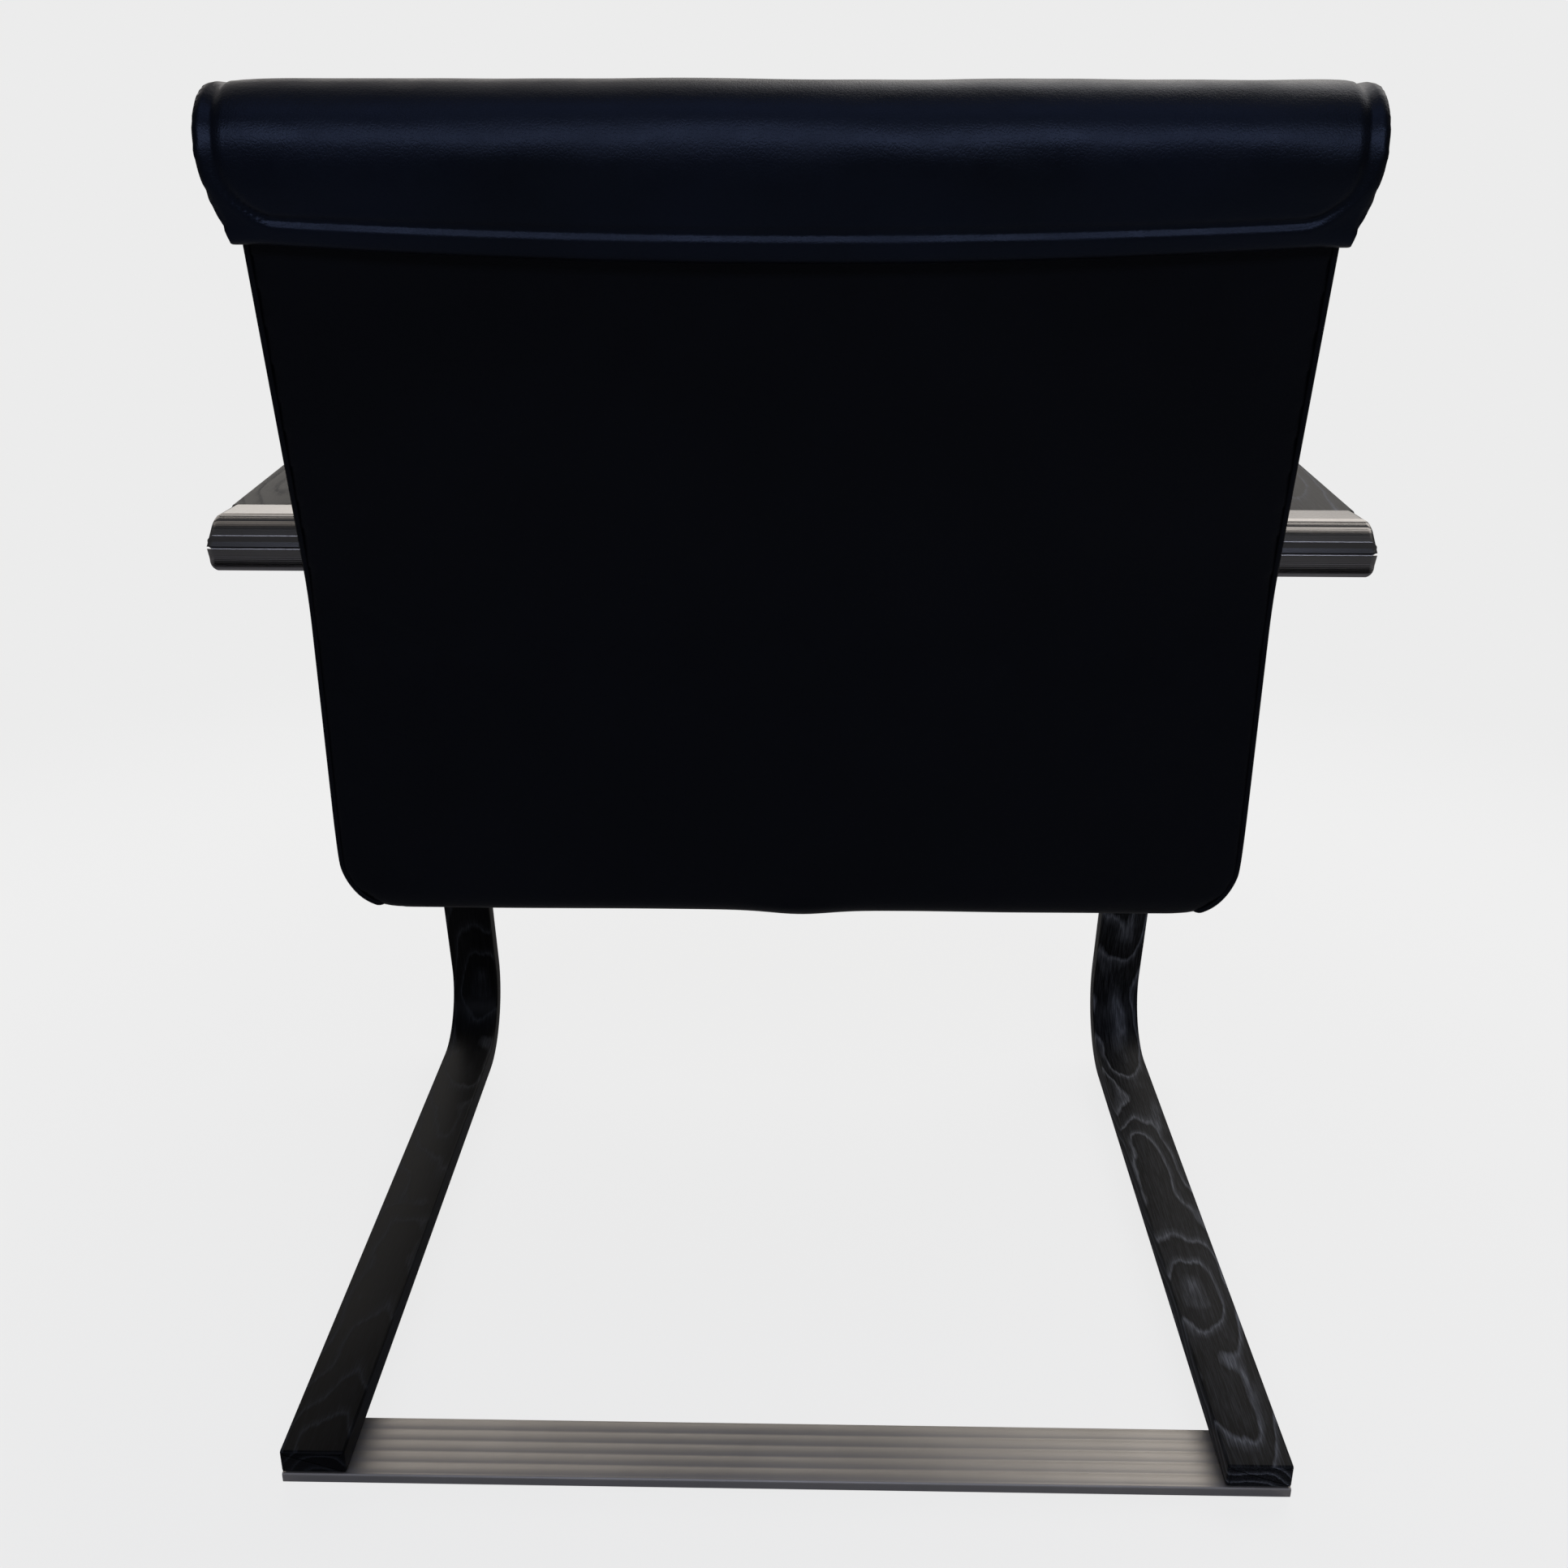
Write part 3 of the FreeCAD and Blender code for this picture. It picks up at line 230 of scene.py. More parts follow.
# moulded nylon feet and clips: black, dull, with a spark-eroded texture
def blackNylon():
    material, tree, shader = startMaterial("blackNylon", {"IOR": 1.53})
    place = addNode(tree, "TexCoord").outputs["Object"]
    spark = addNode(tree, "TexNoise", {"Scale": 1 / (0.9 * mm), "Detail": 4.0}, {"Vector": place})
    colour = addNode(tree, "ValToRGB", {"stops": [(0.3, srgb("#0b0b0c")), (0.75, srgb("#161617"))]},
                     {"Fac": spark.outputs["Fac"]})
    tree.links.new(colour.outputs["Color"], shader.inputs["Base Color"])
    gloss = addNode(tree, "ValToRGB", {"stops": [(0.3, 0.5), (0.7, 0.65)]}, {"Fac": spark.outputs["Fac"]})
    tree.links.new(gloss.outputs["Color"], shader.inputs["Roughness"])
    relief = addNode(tree, "Bump", {"Strength": 0.3, "Distance": 0.06 * mm}, {"Height": spark.outputs["Fac"]})
    tree.links.new(relief.outputs["Normal"], shader.inputs["Normal"])
    return material


# birch plywood coloured near black as painted shade, so that the gaps between the cushions stay dark
def plywoodPaintedShade():
    material, tree, shader = startMaterial("plywoodPaintedShade", {"Roughness": 0.55})
    place = addNode(tree, "TexCoord").outputs["Object"]
    fibre = addNode(tree, "Mapping", {"Scale": (30.0, 600.0, 30.0)}, {"Vector": place})
    grain = addNode(tree, "TexNoise", {"Scale": 1.0, "Detail": 4.0}, {"Vector": fibre.outputs["Vector"]})
    colour = addNode(tree, "ValToRGB", {"stops": [(0.3, srgb("#0e0c0b")), (0.7, srgb("#1c1815"))]},
                     {"Fac": grain.outputs["Fac"]})
    tree.links.new(colour.outputs["Color"], shader.inputs["Base Color"])
    return material


# woven hook-and-loop tape: black nylon with a dense nap
def hookAndLoop():
    material, tree, shader = startMaterial("hookAndLoop", {"Roughness": 0.85, "Sheen Weight": 0.3})
    place = addNode(tree, "TexCoord").outputs["Object"]
    nap = addNode(tree, "TexVoronoi", {"Scale": 1 / (1.4 * mm)}, {"Vector": place})
    colour = addNode(tree, "ValToRGB", {"stops": [(0.2, srgb("#19191b")), (0.7, srgb("#070708"))]},
                     {"Fac": nap.outputs["Distance"]})
    tree.links.new(colour.outputs["Color"], shader.inputs["Base Color"])
    relief = addNode(tree, "Bump", {"Strength": 0.5, "Distance": 0.3 * mm, "invert": True},
                     {"Height": nap.outputs["Distance"]})
    tree.links.new(relief.outputs["Normal"], shader.inputs["Normal"])
    return material


leather = blackLeather("blackLeather", "#07080d", 0.22, (0.8, 0.85, 1.0, 1.0))
# the headrest's copy of the same leather: its lighter navy upper colour is painted sheen, the navy highlight
# along the headrest's top, and its specular tint is bluer
headLeatherPaintedSheen = blackLeather("blackLeatherHeadrestPaintedSheen", "#090c17", 0.4, (0.55, 0.68, 1.0, 1.0))
# the same stained ash on both sides: the left copy's dark ring colour is painted shade, the right copy's much
# lighter ring colour is painted light
ashLeftPaintedShade = blackStainedAsh("blackStainedAshLeftPaintedShade", "#3a3c40")
ashRightPaintedLight = blackStainedAsh("blackStainedAshRightPaintedLight", "#888b92")
armAluminium = anodisedAluminium("anodisedArmAluminium", "#a4a19f", "#adaaa8", 0.25)
baseAluminium = anodisedAluminium("anodisedBaseAluminium", "#c8c3bd", "#d2cdc7", 0.6)
zincSteel = zincPlatedSteel()
powderCoat = blackPowderCoat()
nylon = blackNylon()
plywoodShadeFinish = plywoodPaintedShade()
napTape = hookAndLoop()

cadFinish = {
    "base_strip": nylon,
    "front_glides": nylon,
    "cover_clips": nylon,
    "seat_rail": baseAluminium,
    "seat_brackets": powderCoat,
    # the shell core's near-black colour is painted shade for the gaps between the cushions
    "shell_core": plywoodShadeFinish,
    "headrest_strip": napTape,
}
for node in ("runner_bolts", "upright_bolts", "bracket_bolts", "seat_bolts", "back_bolts", "arm_tongues",
             "set_screws", "seat_spacers", "seat_sleeves", "back_sleeves"):
    cadFinish[node] = zincSteel
for node, material in cadFinish.items():
    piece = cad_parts[node]
    piece.data.materials.clear()
    piece.data.materials.append(material)
report("materials made and put on the CAD nodes that stay")


# shared modelling steps


def newPiece(name, bm, material, sharpAngle=40):
    mesh = bpy.data.meshes.new(name)
    bm.to_mesh(mesh)
    bm.free()
    piece = bpy.data.objects.new(name, mesh)
    scene.collection.objects.link(piece)
    mesh.materials.append(material)
    mesh.polygons.foreach_set("use_smooth", [True] * len(mesh.polygons))
    mesh.set_sharp_from_angle(angle=math.radians(sharpAngle))
    return piece


def settle(piece, slotName, *nodes):
    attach(piece, "root")
    if nodes:
        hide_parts(*nodes)
    return piece


# flat face with rounded corners; each corner is (a, b, radius) and place turns (a, b) to a point
def roundedFace(bm, corners, place, segments=8):
    verts = [bm.verts.new(place(a, b)) for a, b, radius in corners]
    bm.faces.new(verts)
    for vert, (a, b, radius) in zip(verts, corners):
        if radius > 0:
            ways = [(edge.other_vert(vert).co - vert.co) for edge in vert.link_edges]
            reach = radius * mm / math.tan(ways[0].angle(ways[1]) / 2)
            bmesh.ops.bevel(bm, geom=[vert], offset=reach, offset_type="OFFSET", affect="VERTICES",
                            segments=segments, profile=0.5, material=-1)


# extrudes faces by a move and gives back the new points and faces
def pull(bm, faces, move):
    grown = bmesh.ops.extrude_face_region(bm, geom=faces)["geom"]
    moved = [item for item in grown if isinstance(item, bmesh.types.BMVert)]
    bmesh.ops.translate(bm, verts=moved, vec=move)
    return moved, [item for item in grown if isinstance(item, bmesh.types.BMFace)]


# rounded outline in the side view, pulled across the chair
def sidePrism(corners, halfWidth, segments=8):
    bm = bmesh.new()
    roundedFace(bm, corners, lambda depth, height: at(-halfWidth, depth, height), segments)
    pull(bm, bm.faces[:], (2 * halfWidth * mm, 0, 0))
    bmesh.ops.recalc_face_normals(bm, faces=bm.faces)
    return bm


def applyModifiers(piece):
    graph = bpy.context.evaluated_depsgraph_get()
    made = bpy.data.meshes.new_from_object(piece.evaluated_get(graph))
    old = piece.data
    piece.modifiers.clear()
    piece.data = made
    bpy.data.meshes.remove(old)


def combine(piece, other, operation):
    cut = piece.modifiers.new("cut", "BOOLEAN")
    cut.object = other
    cut.operation = operation
    cut.solver = "EXACT"
    bpy.context.view_layer.update()
    applyModifiers(piece)
    bpy.data.objects.remove(other)


def remesh(piece, voxel, smoothTimes):
    skin = piece.modifiers.new("skin", "REMESH")
    skin.mode = "VOXEL"
    skin.voxel_size = voxel * mm
    skin.use_smooth_shade = True
    applyModifiers(piece)
    bm = bmesh.new()
    bm.from_mesh(piece.data)
    for step in range(smoothTimes):
        bmesh.ops.smooth_vert(bm, verts=bm.verts, factor=0.5, use_axis_x=True, use_axis_y=True,
                              use_axis_z=True)
    bm.to_mesh(piece.data)
    bm.free()


# moves every point of a piece along its normal by what a function of the point gives, in mm
def press(piece, amount):
    bm = bmesh.new()
    bm.from_mesh(piece.data)
    bm.normal_update()
    moves = [(vert, vert.normal * amount(vert.co / mm, vert.normal) * mm) for vert in bm.verts]
    for vert, move in moves:
        vert.co += move
    bm.to_mesh(piece.data)
    bm.free()


# swells a padded piece under its leather by cloth simulation; held gives how firmly a point is kept
def stuff(piece, held, pressure, cap, frames=12):
    rest = [vert.co.copy() for vert in piece.data.vertices]
    group = piece.vertex_groups.new(name="held")
    for index, place in enumerate(rest):
        group.add([index], max(0.0, min(1.0, held(place / mm))), "REPLACE")
    cloth = piece.modifiers.new("stuffing", "CLOTH")
    cloth.settings.vertex_group_mass = "held"
    cloth.settings.pin_stiffness = 1.0
    cloth.settings.quality = 3
    cloth.settings.mass = 0.4
    cloth.settings.tension_stiffness = 25
    cloth.settings.compression_stiffness = 12
    cloth.settings.bending_stiffness = 0.6
    cloth.settings.use_pressure = True
    cloth.settings.uniform_pressure_force = pressure
    cloth.settings.effector_weights.gravity = 0
    cloth.collision_settings.use_collision = False
    cloth.point_cache.frame_start = 1
    cloth.point_cache.frame_end = frames
    for step in range(1, frames + 1):
        scene.frame_set(step)
    applyModifiers(piece)
    scene.frame_set(1)
    for vert, place in zip(piece.data.vertices, rest):
        move = vert.co - place
        if move.length > cap * mm:
            vert.co = place + move * (cap * mm / move.length)
    piece.vertex_groups.clear()


def subdivideOnce(piece):
    finer = piece.modifiers.new("finer", "SUBSURF")
    finer.levels = finer.render_levels = 1
    applyModifiers(piece)


def smoothAll(piece):
    piece.data.polygons.foreach_set("use_smooth", [True] * len(piece.data.polygons))


# round welt along a smooth line of points
def welt(name, points, diameter, material):
    curve = bpy.data.curves.new(name, "CURVE")
    curve.dimensions = "3D"
    curve.bevel_depth = diameter * mm / 2
    curve.bevel_resolution = 3
    curve.use_fill_caps = True
    spline = curve.splines.new("NURBS")
    spline.points.add(len(points) - 1)
    for point, place in zip(spline.points, points):
        point.co = (*place, 1)
    spline.order_u = 3
    spline.use_endpoint_u = True
    spline.resolution_u = 6
    holder = bpy.data.objects.new(name + "Line", curve)
    scene.collection.objects.link(holder)
    bpy.context.view_layer.update()
    mesh = bpy.data.meshes.new_from_object(holder.evaluated_get(bpy.context.evaluated_depsgraph_get()))
    bpy.data.objects.remove(holder)
    piece = bpy.data.objects.new(name, mesh)
    scene.collection.objects.link(piece)
    mesh.materials.clear()
    mesh.materials.append(material)
    smoothAll(piece)
    return piece


# side frames

sideFrame = {
    "centre": 318.0,
    "width": 44.0,
    "thickness": 18.0,
    "runnerTop": 29.0,
    "bottomBend": 55.0,
    "topBend": 60.0,
    "bendCentre": 511.0,
    "lean": 9.0,
    "armSlope": 3.8,
    "armEnd": 134.0,
    "armTop": 642.0,
    "edgeRound": 1.8,
    "endRound": 2.4,
    "bendSteps": 24,
    "grainAside": 6.0,
    "grainAlongRight": 430.0,  # the right strip shows another stretch of the grain
}
tiny = 1e-6  # in metres, for telling whether a point lies on a plane


# centre line of the bent strip as side-view corners, rear of the runner to the end of the arm
def framePath(size):
    half = size["thickness"] / 2
    low = size["runnerTop"] - half
    turn = math.radians(90 + size["lean"])
    foot = Vector((size["bendCentre"] + (size["bottomBend"] + half) * math.tan(turn / 2), low))
    lean = math.tan(math.radians(size["lean"]))
    rise = math.tan(math.radians(size["armSlope"]))
    arm = Vector((size["armEnd"], size["armTop"] - half / math.cos(math.radians(size["armSlope"]))))
    climb = (arm.y + (foot.x - arm.x) * rise - foot.y) / (1 + rise * lean)
    shoulder = Vector((foot.x - climb * lean, foot.y + climb))
    return [Vector((0.0, low)), foot, shoulder, arm]


def buildSideFrame(name, side, size):
    half = size["thickness"] / 2
    path = framePath(size)
    bm = bmesh.new()
    across = bm.verts.layers.float.new("across")
    along = bm.verts.layers.float.new("along")
    through = bm.verts.layers.float.new("through")
    wide = size["width"] / 2
    edge = size["edgeRound"]
    corners = [(-wide, -half, edge), (wide, -half, edge), (wide, half, edge), (-wide, half, edge)]
    centre = side * size["centre"]
    roundedFace(bm, corners, lambda a, b: at(centre + a, path[0].x, path[0].y + b), 4)
    for vert in bm.verts:
        vert[across] = vert.co.x / mm - centre
        vert[through] = vert.co.z / mm - path[0].y
    radii = [size["bottomBend"] + half, size["topBend"] + half]
    done = 0.0
    place = path[0]
    tip = bm.faces[:][0]
    for index in range(3):
        heading = (path[index + 1] - path[index]).normalized()
        end = path[index + 1]
        if index < 2:
            onward = (path[index + 2] - path[index + 1]).normalized()
            turn = heading.angle(onward)
            end = end - heading * radii[index] * math.tan(turn / 2)
        run = (end - place).length
        if index == 2:
            run += half  # a little long, cut upright below
        moved, tips = pull(bm, [tip], (0, -heading.x * run * mm, heading.y * run * mm))
        done += run
        for vert in moved:
            vert[along] = done
        tip = tips[0]
        if index < 2:
            pivot = end + Vector((-heading.y, heading.x)) * radii[index]
            known = set(bm.verts)
            spun = bmesh.ops.spin(bm, geom=[tip, *tip.edges, *tip.verts], cent=at(0, pivot.x, pivot.y),
                                  axis=(1, 0, 0), dvec=(0, 0, 0), angle=-turn, steps=size["bendSteps"],
                                  use_duplicate=False)
            for vert in bm.verts:
                if vert not in known:
                    out = Vector((rearEdge - vert.co.y / mm, vert.co.z / mm)) - pivot
                    start = -Vector((-heading.y, heading.x))
                    vert[along] = done + start.angle(out) * radii[index]
            done += turn * radii[index]
            tip = [item for item in spun["geom_last"] if isinstance(item, bmesh.types.BMFace)][0]
            bend, share = radii[index], math.tan(turn / 2)
            place = end + heading * bend * share + onward * bend * share
    cutPlace = at(0, size["armEnd"], 0)
    everything = bm.verts[:] + bm.edges[:] + bm.faces[:]
    bmesh.ops.bisect_plane(bm, geom=everything, plane_co=cutPlace, plane_no=(0, 1, 0), dist=1e-7)
    halfway = size["armTop"] * mm / 2  # above it there is only the arm's overlength behind the cut
    spare = [face for face in bm.faces
             if face.calc_center_median().y > cutPlace.y + tiny and face.calc_center_median().z > halfway]
    bmesh.ops.delete(bm, geom=spare, context="FACES")
    bmesh.ops.holes_fill(bm, edges=[edge for edge in bm.edges if edge.is_boundary])
    bmesh.ops.recalc_face_normals(bm, faces=bm.faces)
    rear = [edge for edge in bm.edges if all(abs(vert.co.y - rearEdge * mm) < tiny for vert in edge.verts)]
    bmesh.ops.bevel(bm, geom=rear, offset=size["endRound"] * mm, offset_type="OFFSET", affect="EDGES",
                    segments=4, profile=0.5, material=-1)
    grainPlace = [(vert[across] * mm, vert[along] * mm, vert[through] * mm) for vert in bm.verts]
    # the left strip gets the ash with painted shade, the right strip the ash with painted light
    piece = newPiece(name, bm, ashLeftPaintedShade if side > 0 else ashRightPaintedLight, 35)
    grain = piece.data.attributes.new("grain", "FLOAT_VECTOR", "POINT")
    aside = side * size["grainAside"] * mm
    further = size["grainAlongRight"] * mm if side < 0 else 0.0
    for index, value in enumerate(grainPlace):
        grain.data[index].vector = (value[0] + aside, value[1] + further, value[2])
    return piece


for name, node, side in (("sideFrameLeft", "side_frame_left", 1), ("sideFrameRight", "side_frame_right", -1)):
    settle(buildSideFrame(name, side, sideFrame), "ash", node)
report("side frames bent")


# metal rails

armRail = {
    "half": 340.0, "rear": 85.0, "front": 134.0, "low": 613.0, "top": 642.0, "noseRun": 15.0,
    "noseDrop": 12.0, "noseRadius": 18.0, "noseFoot": 1.5, "lowRadius": 5.5, "frontRadius": 0.6,
    "endRound": 4.0, "grooveTop": 627.0, "grooveHeight": 1.2, "grooveDepth": 1.0, "grooveRunout": 0.8,
}


def buildArmRail(size):
    grooveLow = size["grooveTop"] - size["grooveHeight"]
    inner = size["rear"] + size["grooveDepth"]
    corners = [
        (size["rear"], size["low"], size["lowRadius"]),
        (size["front"], size["low"], size["frontRadius"]),
        (size["front"], size["top"], 0.0),
        (size["rear"] + size["noseRun"], size["top"], size["noseRadius"]),
        (size["rear"], size["top"] - size["noseDrop"], size["noseFoot"]),
        (size["rear"], size["grooveTop"], 0.0),
        (inner, size["grooveTop"], 0.0),
        (inner, grooveLow, 0.0),
        (size["rear"], grooveLow, 0.0),
    ]
    bm = sidePrism(corners, size["half"], 12)
    front = (rearEdge - size["front"]) * mm
    slack = 0.0001
    mouthLow, mouthTop = grooveLow * mm - slack, size["grooveTop"] * mm + slack

    def isEnd(vert):
        return abs(abs(vert.co.x) - size["half"] * mm) < tiny

    def inMouth(vert):
        return mouthLow < vert.co.z < mouthTop

    ends = [edge for edge in bm.edges
            if all(isEnd(vert) for vert in edge.verts)
            and any(vert.co.y > front + 0.001 for vert in edge.verts)
            and not all(inMouth(vert) for vert in edge.verts)]
    bmesh.ops.bevel(bm, geom=ends, offset=size["endRound"] * mm, offset_type="OFFSET", affect="EDGES",
                    segments=6, profile=0.5, clamp_overlap=False, material=-1)
    rearHalf = front + 0.03  # the groove is behind this, in metres
    for vert in bm.verts:  # the groove runs out into the rounded end
        if isEnd(vert) and mouthLow - 0.0005 < vert.co.z < mouthTop + 0.0005 and vert.co.y > rearHalf:
            vert.co.x = math.copysign((size["half"] - size["endRound"] * size["grooveRunout"]) * mm, vert.co.x)
    return newPiece("armRail", bm, armAluminium, 30)


settle(buildArmRail(armRail), "rail_aluminium", "arm_rail")

baseRail = {"half": 340.0, "depth": 53.0, "low": 2.5, "thickness": 8.5, "edge": 1.6, "ribs": 5,
            "ribHeight": 0.7, "ribSteps": 8, "land": 1.0, "endRound": 0.7}


def buildBaseRail(size):
    rim = size["low"] + size["thickness"] - size["ribHeight"]
    pitch = (size["depth"] - 2 * size["edge"]) / size["ribs"]
    corners = [(0.0, size["low"], size["edge"]), (size["depth"], size["low"], size["edge"]),
               (size["depth"], rim, size["edge"])]
    for rib in range(size["ribs"]):
        front = size["depth"] - size["edge"] - rib * pitch - size["land"] / 2
        back = front - pitch + size["land"]
        for step in range(size["ribSteps"] + 1):
            share = step / size["ribSteps"]
            lift = size["ribHeight"] * (1 - (2 * share - 1) ** 2)
            corners.append((front + (back - front) * share, rim + lift, 0.0))
    corners.append((0.0, rim, size["edge"]))
    bm = sidePrism(corners, size["half"], 5)
    ends = [edge for edge in bm.edges
            if all(abs(abs(vert.co.x) - size["half"] * mm) < tiny for vert in edge.verts)]
    bmesh.ops.bevel(bm, geom=ends, offset=size["endRound"] * mm, offset_type="OFFSET", affect="EDGES",
                    segments=2, profile=0.5, clamp_overlap=True, material=-1)
    return newPiece("baseRail", bm, baseAluminium, 25)


settle(buildBaseRail(baseRail), "base_aluminium", "base_rail")
report("rails drawn")


# upholstered body

body = {
    "half": 279.0, "inset": 72.0, "underside": 395.0, "pitch": 1.5, "base": 30.0, "front": 587.0,
    "top": 848.0, "bend": 603.0, "recline": 12.0, "bendRadius": 300.0, "heel": 16.0, "corner": 42.0,
    "toe": 14.0, "crest": 10.0, "shellFront": 144.0, "shellKink": 658.0, "shellRecline": 17.0,
    "shellBend": 24.0, "kinkRadius": 90.0, "split": 165.0, "slotGap": 3.0, "voxel": 4.0,
    "crown": 3.0, "crownLow": 430.0, "crownTop": 800.0, "sag": 2.6, "sagAt": -8.0, "sagWidth": 26.0,
    "creaseInner": 190.0, "creaseOuter": 268.0, "creaseAt": 260.0, "creaseHeight": 600.0,
    "creaseSlope": 0.62, "creaseDepth": 0.8, "creaseWidth": 3.0, "wave": 0.35, "waveLength": 70.0,
    "seamRoll": 0.8, "seamRollWidth": 3.0,
}


def underside(depth):
    return body["underside"] + (depth - body["inset"]) * math.tan(math.radians(body["pitch"]))


def coreTop(depth):
    return underside(depth) + body["base"]


def rearFace(height):
    return body["inset"] - max(0.0, height - body["bend"]) * math.tan(math.radians(body["recline"]))


def shellFace(height):
    rise = max(0.0, height - body["shellKink"])
    return body["shellFront"] - rise * math.tan(math.radians(body["shellRecline"]))


def bodyBlock():
    corners = [
        (body["inset"], body["underside"], body["heel"]),
        (body["front"], underside(body["front"]), body["toe"]),
        (body["front"], coreTop(body["front"]), 0.0),
        (body["shellFront"], coreTop(body["shellFront"]), body["shellBend"]),
        (body["shellFront"], body["shellKink"], body["kinkRadius"]),
        (shellFace(body["top"]), body["top"], 0.0),
        (rearFace(body["top"]), body["top"], body["crest"]),
        (body["inset"], body["bend"], body["bendRadius"]),
    ]
    return newPiece("bodyBlock", sidePrism(corners, body["half"], 12), leather)


# a wide prism along the seat with rounded lower corners, which gives the body its rear view
def bodyMask():
    half, radius, tall = body["half"], body["corner"], 900.0
    reach = 1.2  # in metres, well past the front
    pitch = math.radians(body["pitch"])
    foot = Vector((0.0, underside(0.0)))

    def place(a, b):
        return at(a, foot.x - math.sin(pitch) * b, foot.y + math.cos(pitch) * b)

    bm = bmesh.new()
    roundedFace(bm, [(-half, 0, radius), (half, 0, radius), (half, tall, 0), (-half, tall, 0)], place, 12)
    pull(bm, bm.faces[:], (0, -reach * math.cos(pitch), reach * math.sin(pitch)))
    bmesh.ops.recalc_face_normals(bm, faces=bm.faces)
    return newPiece("bodyMask", bm, leather)


def railSlot(gap):
    corners = [
        (armRail["rear"] - gap, armRail["low"] - gap, 6.0),
        (armRail["front"] + 30.0, armRail["low"] - gap, 0.0),
        (armRail["front"] + 30.0, armRail["top"] + gap, 0.0),
        (armRail["rear"] - gap, armRail["top"] + gap, 9.0),
    ]
    return newPiece("railSlot", sidePrism(corners, 400.0), leather)


# the leather is drawn tight over foam: a slight crown, a sag at the middle of the lower edge
# and one long crease that runs down from the left slot
def bodyRelief(place, normal):
    x, y, z = place
    rise = 0.0
    if normal.y > 0.3 and z > body["crownLow"]:  # rear panel
        edge = 1 - (x / body["half"]) ** 2
        rise += body["crown"] * edge * math.sin(math.pi * smoothStep(body["crownLow"], body["crownTop"], z))
        line = (z - body["creaseHeight"]) - body["creaseSlope"] * (x - body["creaseAt"])
        inner, outer = body["creaseInner"], body["creaseOuter"]
        if inner < x < outer and abs(line) < 14:
            fade = math.sin(math.pi * (x - inner) / (outer - inner))
            rise -= body["creaseDepth"] * math.exp(-(line / body["creaseWidth"]) ** 2) * fade
    if normal.z < -0.3 and z < 460 and y > 120:  # the rear of the underside
        rise += body["sag"] * math.exp(-((x - body["sagAt"]) / body["sagWidth"]) ** 2) * smoothStep(120, 200, y)
    length = body["waveLength"]
    wave = noise.noise(Vector((x / length, y / length, z / length)))
    return rise + body["wave"] * wave


block = bodyBlock()
combine(block, bodyMask(), "INTERSECT")
combine(block, railSlot(body["slotGap"]), "DIFFERENCE")
remesh(block, body["voxel"], 3)
press(block, bodyRelief)


# splits the body where cover and pan meet, and rolls each edge in a little
def takeSide(source, name, rearPart, nodes):
    bm = bmesh.new()
    bm.from_mesh(source.data)
    gap = 0.35 if rearPart else -0.35
    plane = at(0, body["split"] - gap, 0)
    everything = bm.verts[:] + bm.edges[:] + bm.faces[:]
    bmesh.ops.bisect_plane(bm, geom=everything, plane_co=plane, plane_no=(0, 1, 0), dist=1e-7,
                           clear_outer=not rearPart, clear_inner=rearPart)
    for vert in bm.verts:
        near = abs(vert.co.y - plane.y) / mm
        if near < body["seamRollWidth"]:
            vert.co -= vert.normal * mm * body["seamRoll"] * (1 - near / body["seamRollWidth"]) ** 2
    bmesh.ops.holes_fill(bm, edges=[edge for edge in bm.edges if edge.is_boundary])
    bmesh.ops.recalc_face_normals(bm, faces=bm.faces)
    piece = newPiece(name, bm, leather, 50)
    return settle(piece, "leather", nodes)


takeSide(block, "backCover", True, "back_cover")
takeSide(block, "seatPan", False, "seat_pan")
bpy.data.objects.remove(block)
report("body upholstered")


backWelt = {
    "diameter": 3.6, "setIn": 1.4, "proud": 1.8, "slopeHeights": (840, 780, 720, 670, 635),
    "uprightHeights": (600, 560, 520, 480, 455), "cornerSteps": 7, "cornerStep": 9.0,
}


# welt round the rear panel: down one side, round the lower corner and a little way in
def sideWelt(name, side):
    setIn, proud = backWelt["setIn"], backWelt["proud"]
    half, corner, heel = body["half"] - setIn, body["corner"], body["heel"]
    points = [at(side * half, rearFace(height) + proud, height) for height in backWelt["slopeHeights"]]
    points += [at(side * half, body["inset"] + proud, height) for height in backWelt["uprightHeights"]]
    for step in range(1, backWelt["cornerSteps"] + 1):
        turn = math.radians(step * backWelt["cornerStep"])
        height = body["underside"] + setIn + (corner - setIn) * (1 - math.sin(turn))
        heelDrop = max(0.0, body["underside"] + heel - height)
        depth = body["inset"] + heel - math.sqrt(heel ** 2 - heelDrop ** 2) + proud
        points.append(at(side * (half - (corner - setIn) * (1 - math.cos(turn))), depth, height))
    points.append(points[-1] + Vector((-side * 0.006, -0.006, 0.004)))  # the end is tucked in
    return settle(welt(name, points, backWelt["diameter"], leather), "leather")


sideWelt("backWeltLeft", 1)
sideWelt("backWeltRight", -1)


# seat cushion

seatCushion = {
    "half": 276.0, "rear": 158.0, "front": 597.0, "thickness": 24.0, "heel": 11.0, "nose": 16.0,
    "lip": 587.4, "lipRise": 14.0, "lift": 0.6, "voxel": 6.5, "pressure": 4.0, "cap": 7.0,
    "heldBelow": 3.0, "freeAbove": 12.0, "edgeHold": 0.25, "crown": 3.0, "edgeSeam": 20.0,
    "seamDepth": 1.3, "seamWidth": 2.4, "wave": 0.3, "waveLength": 60.0,
}


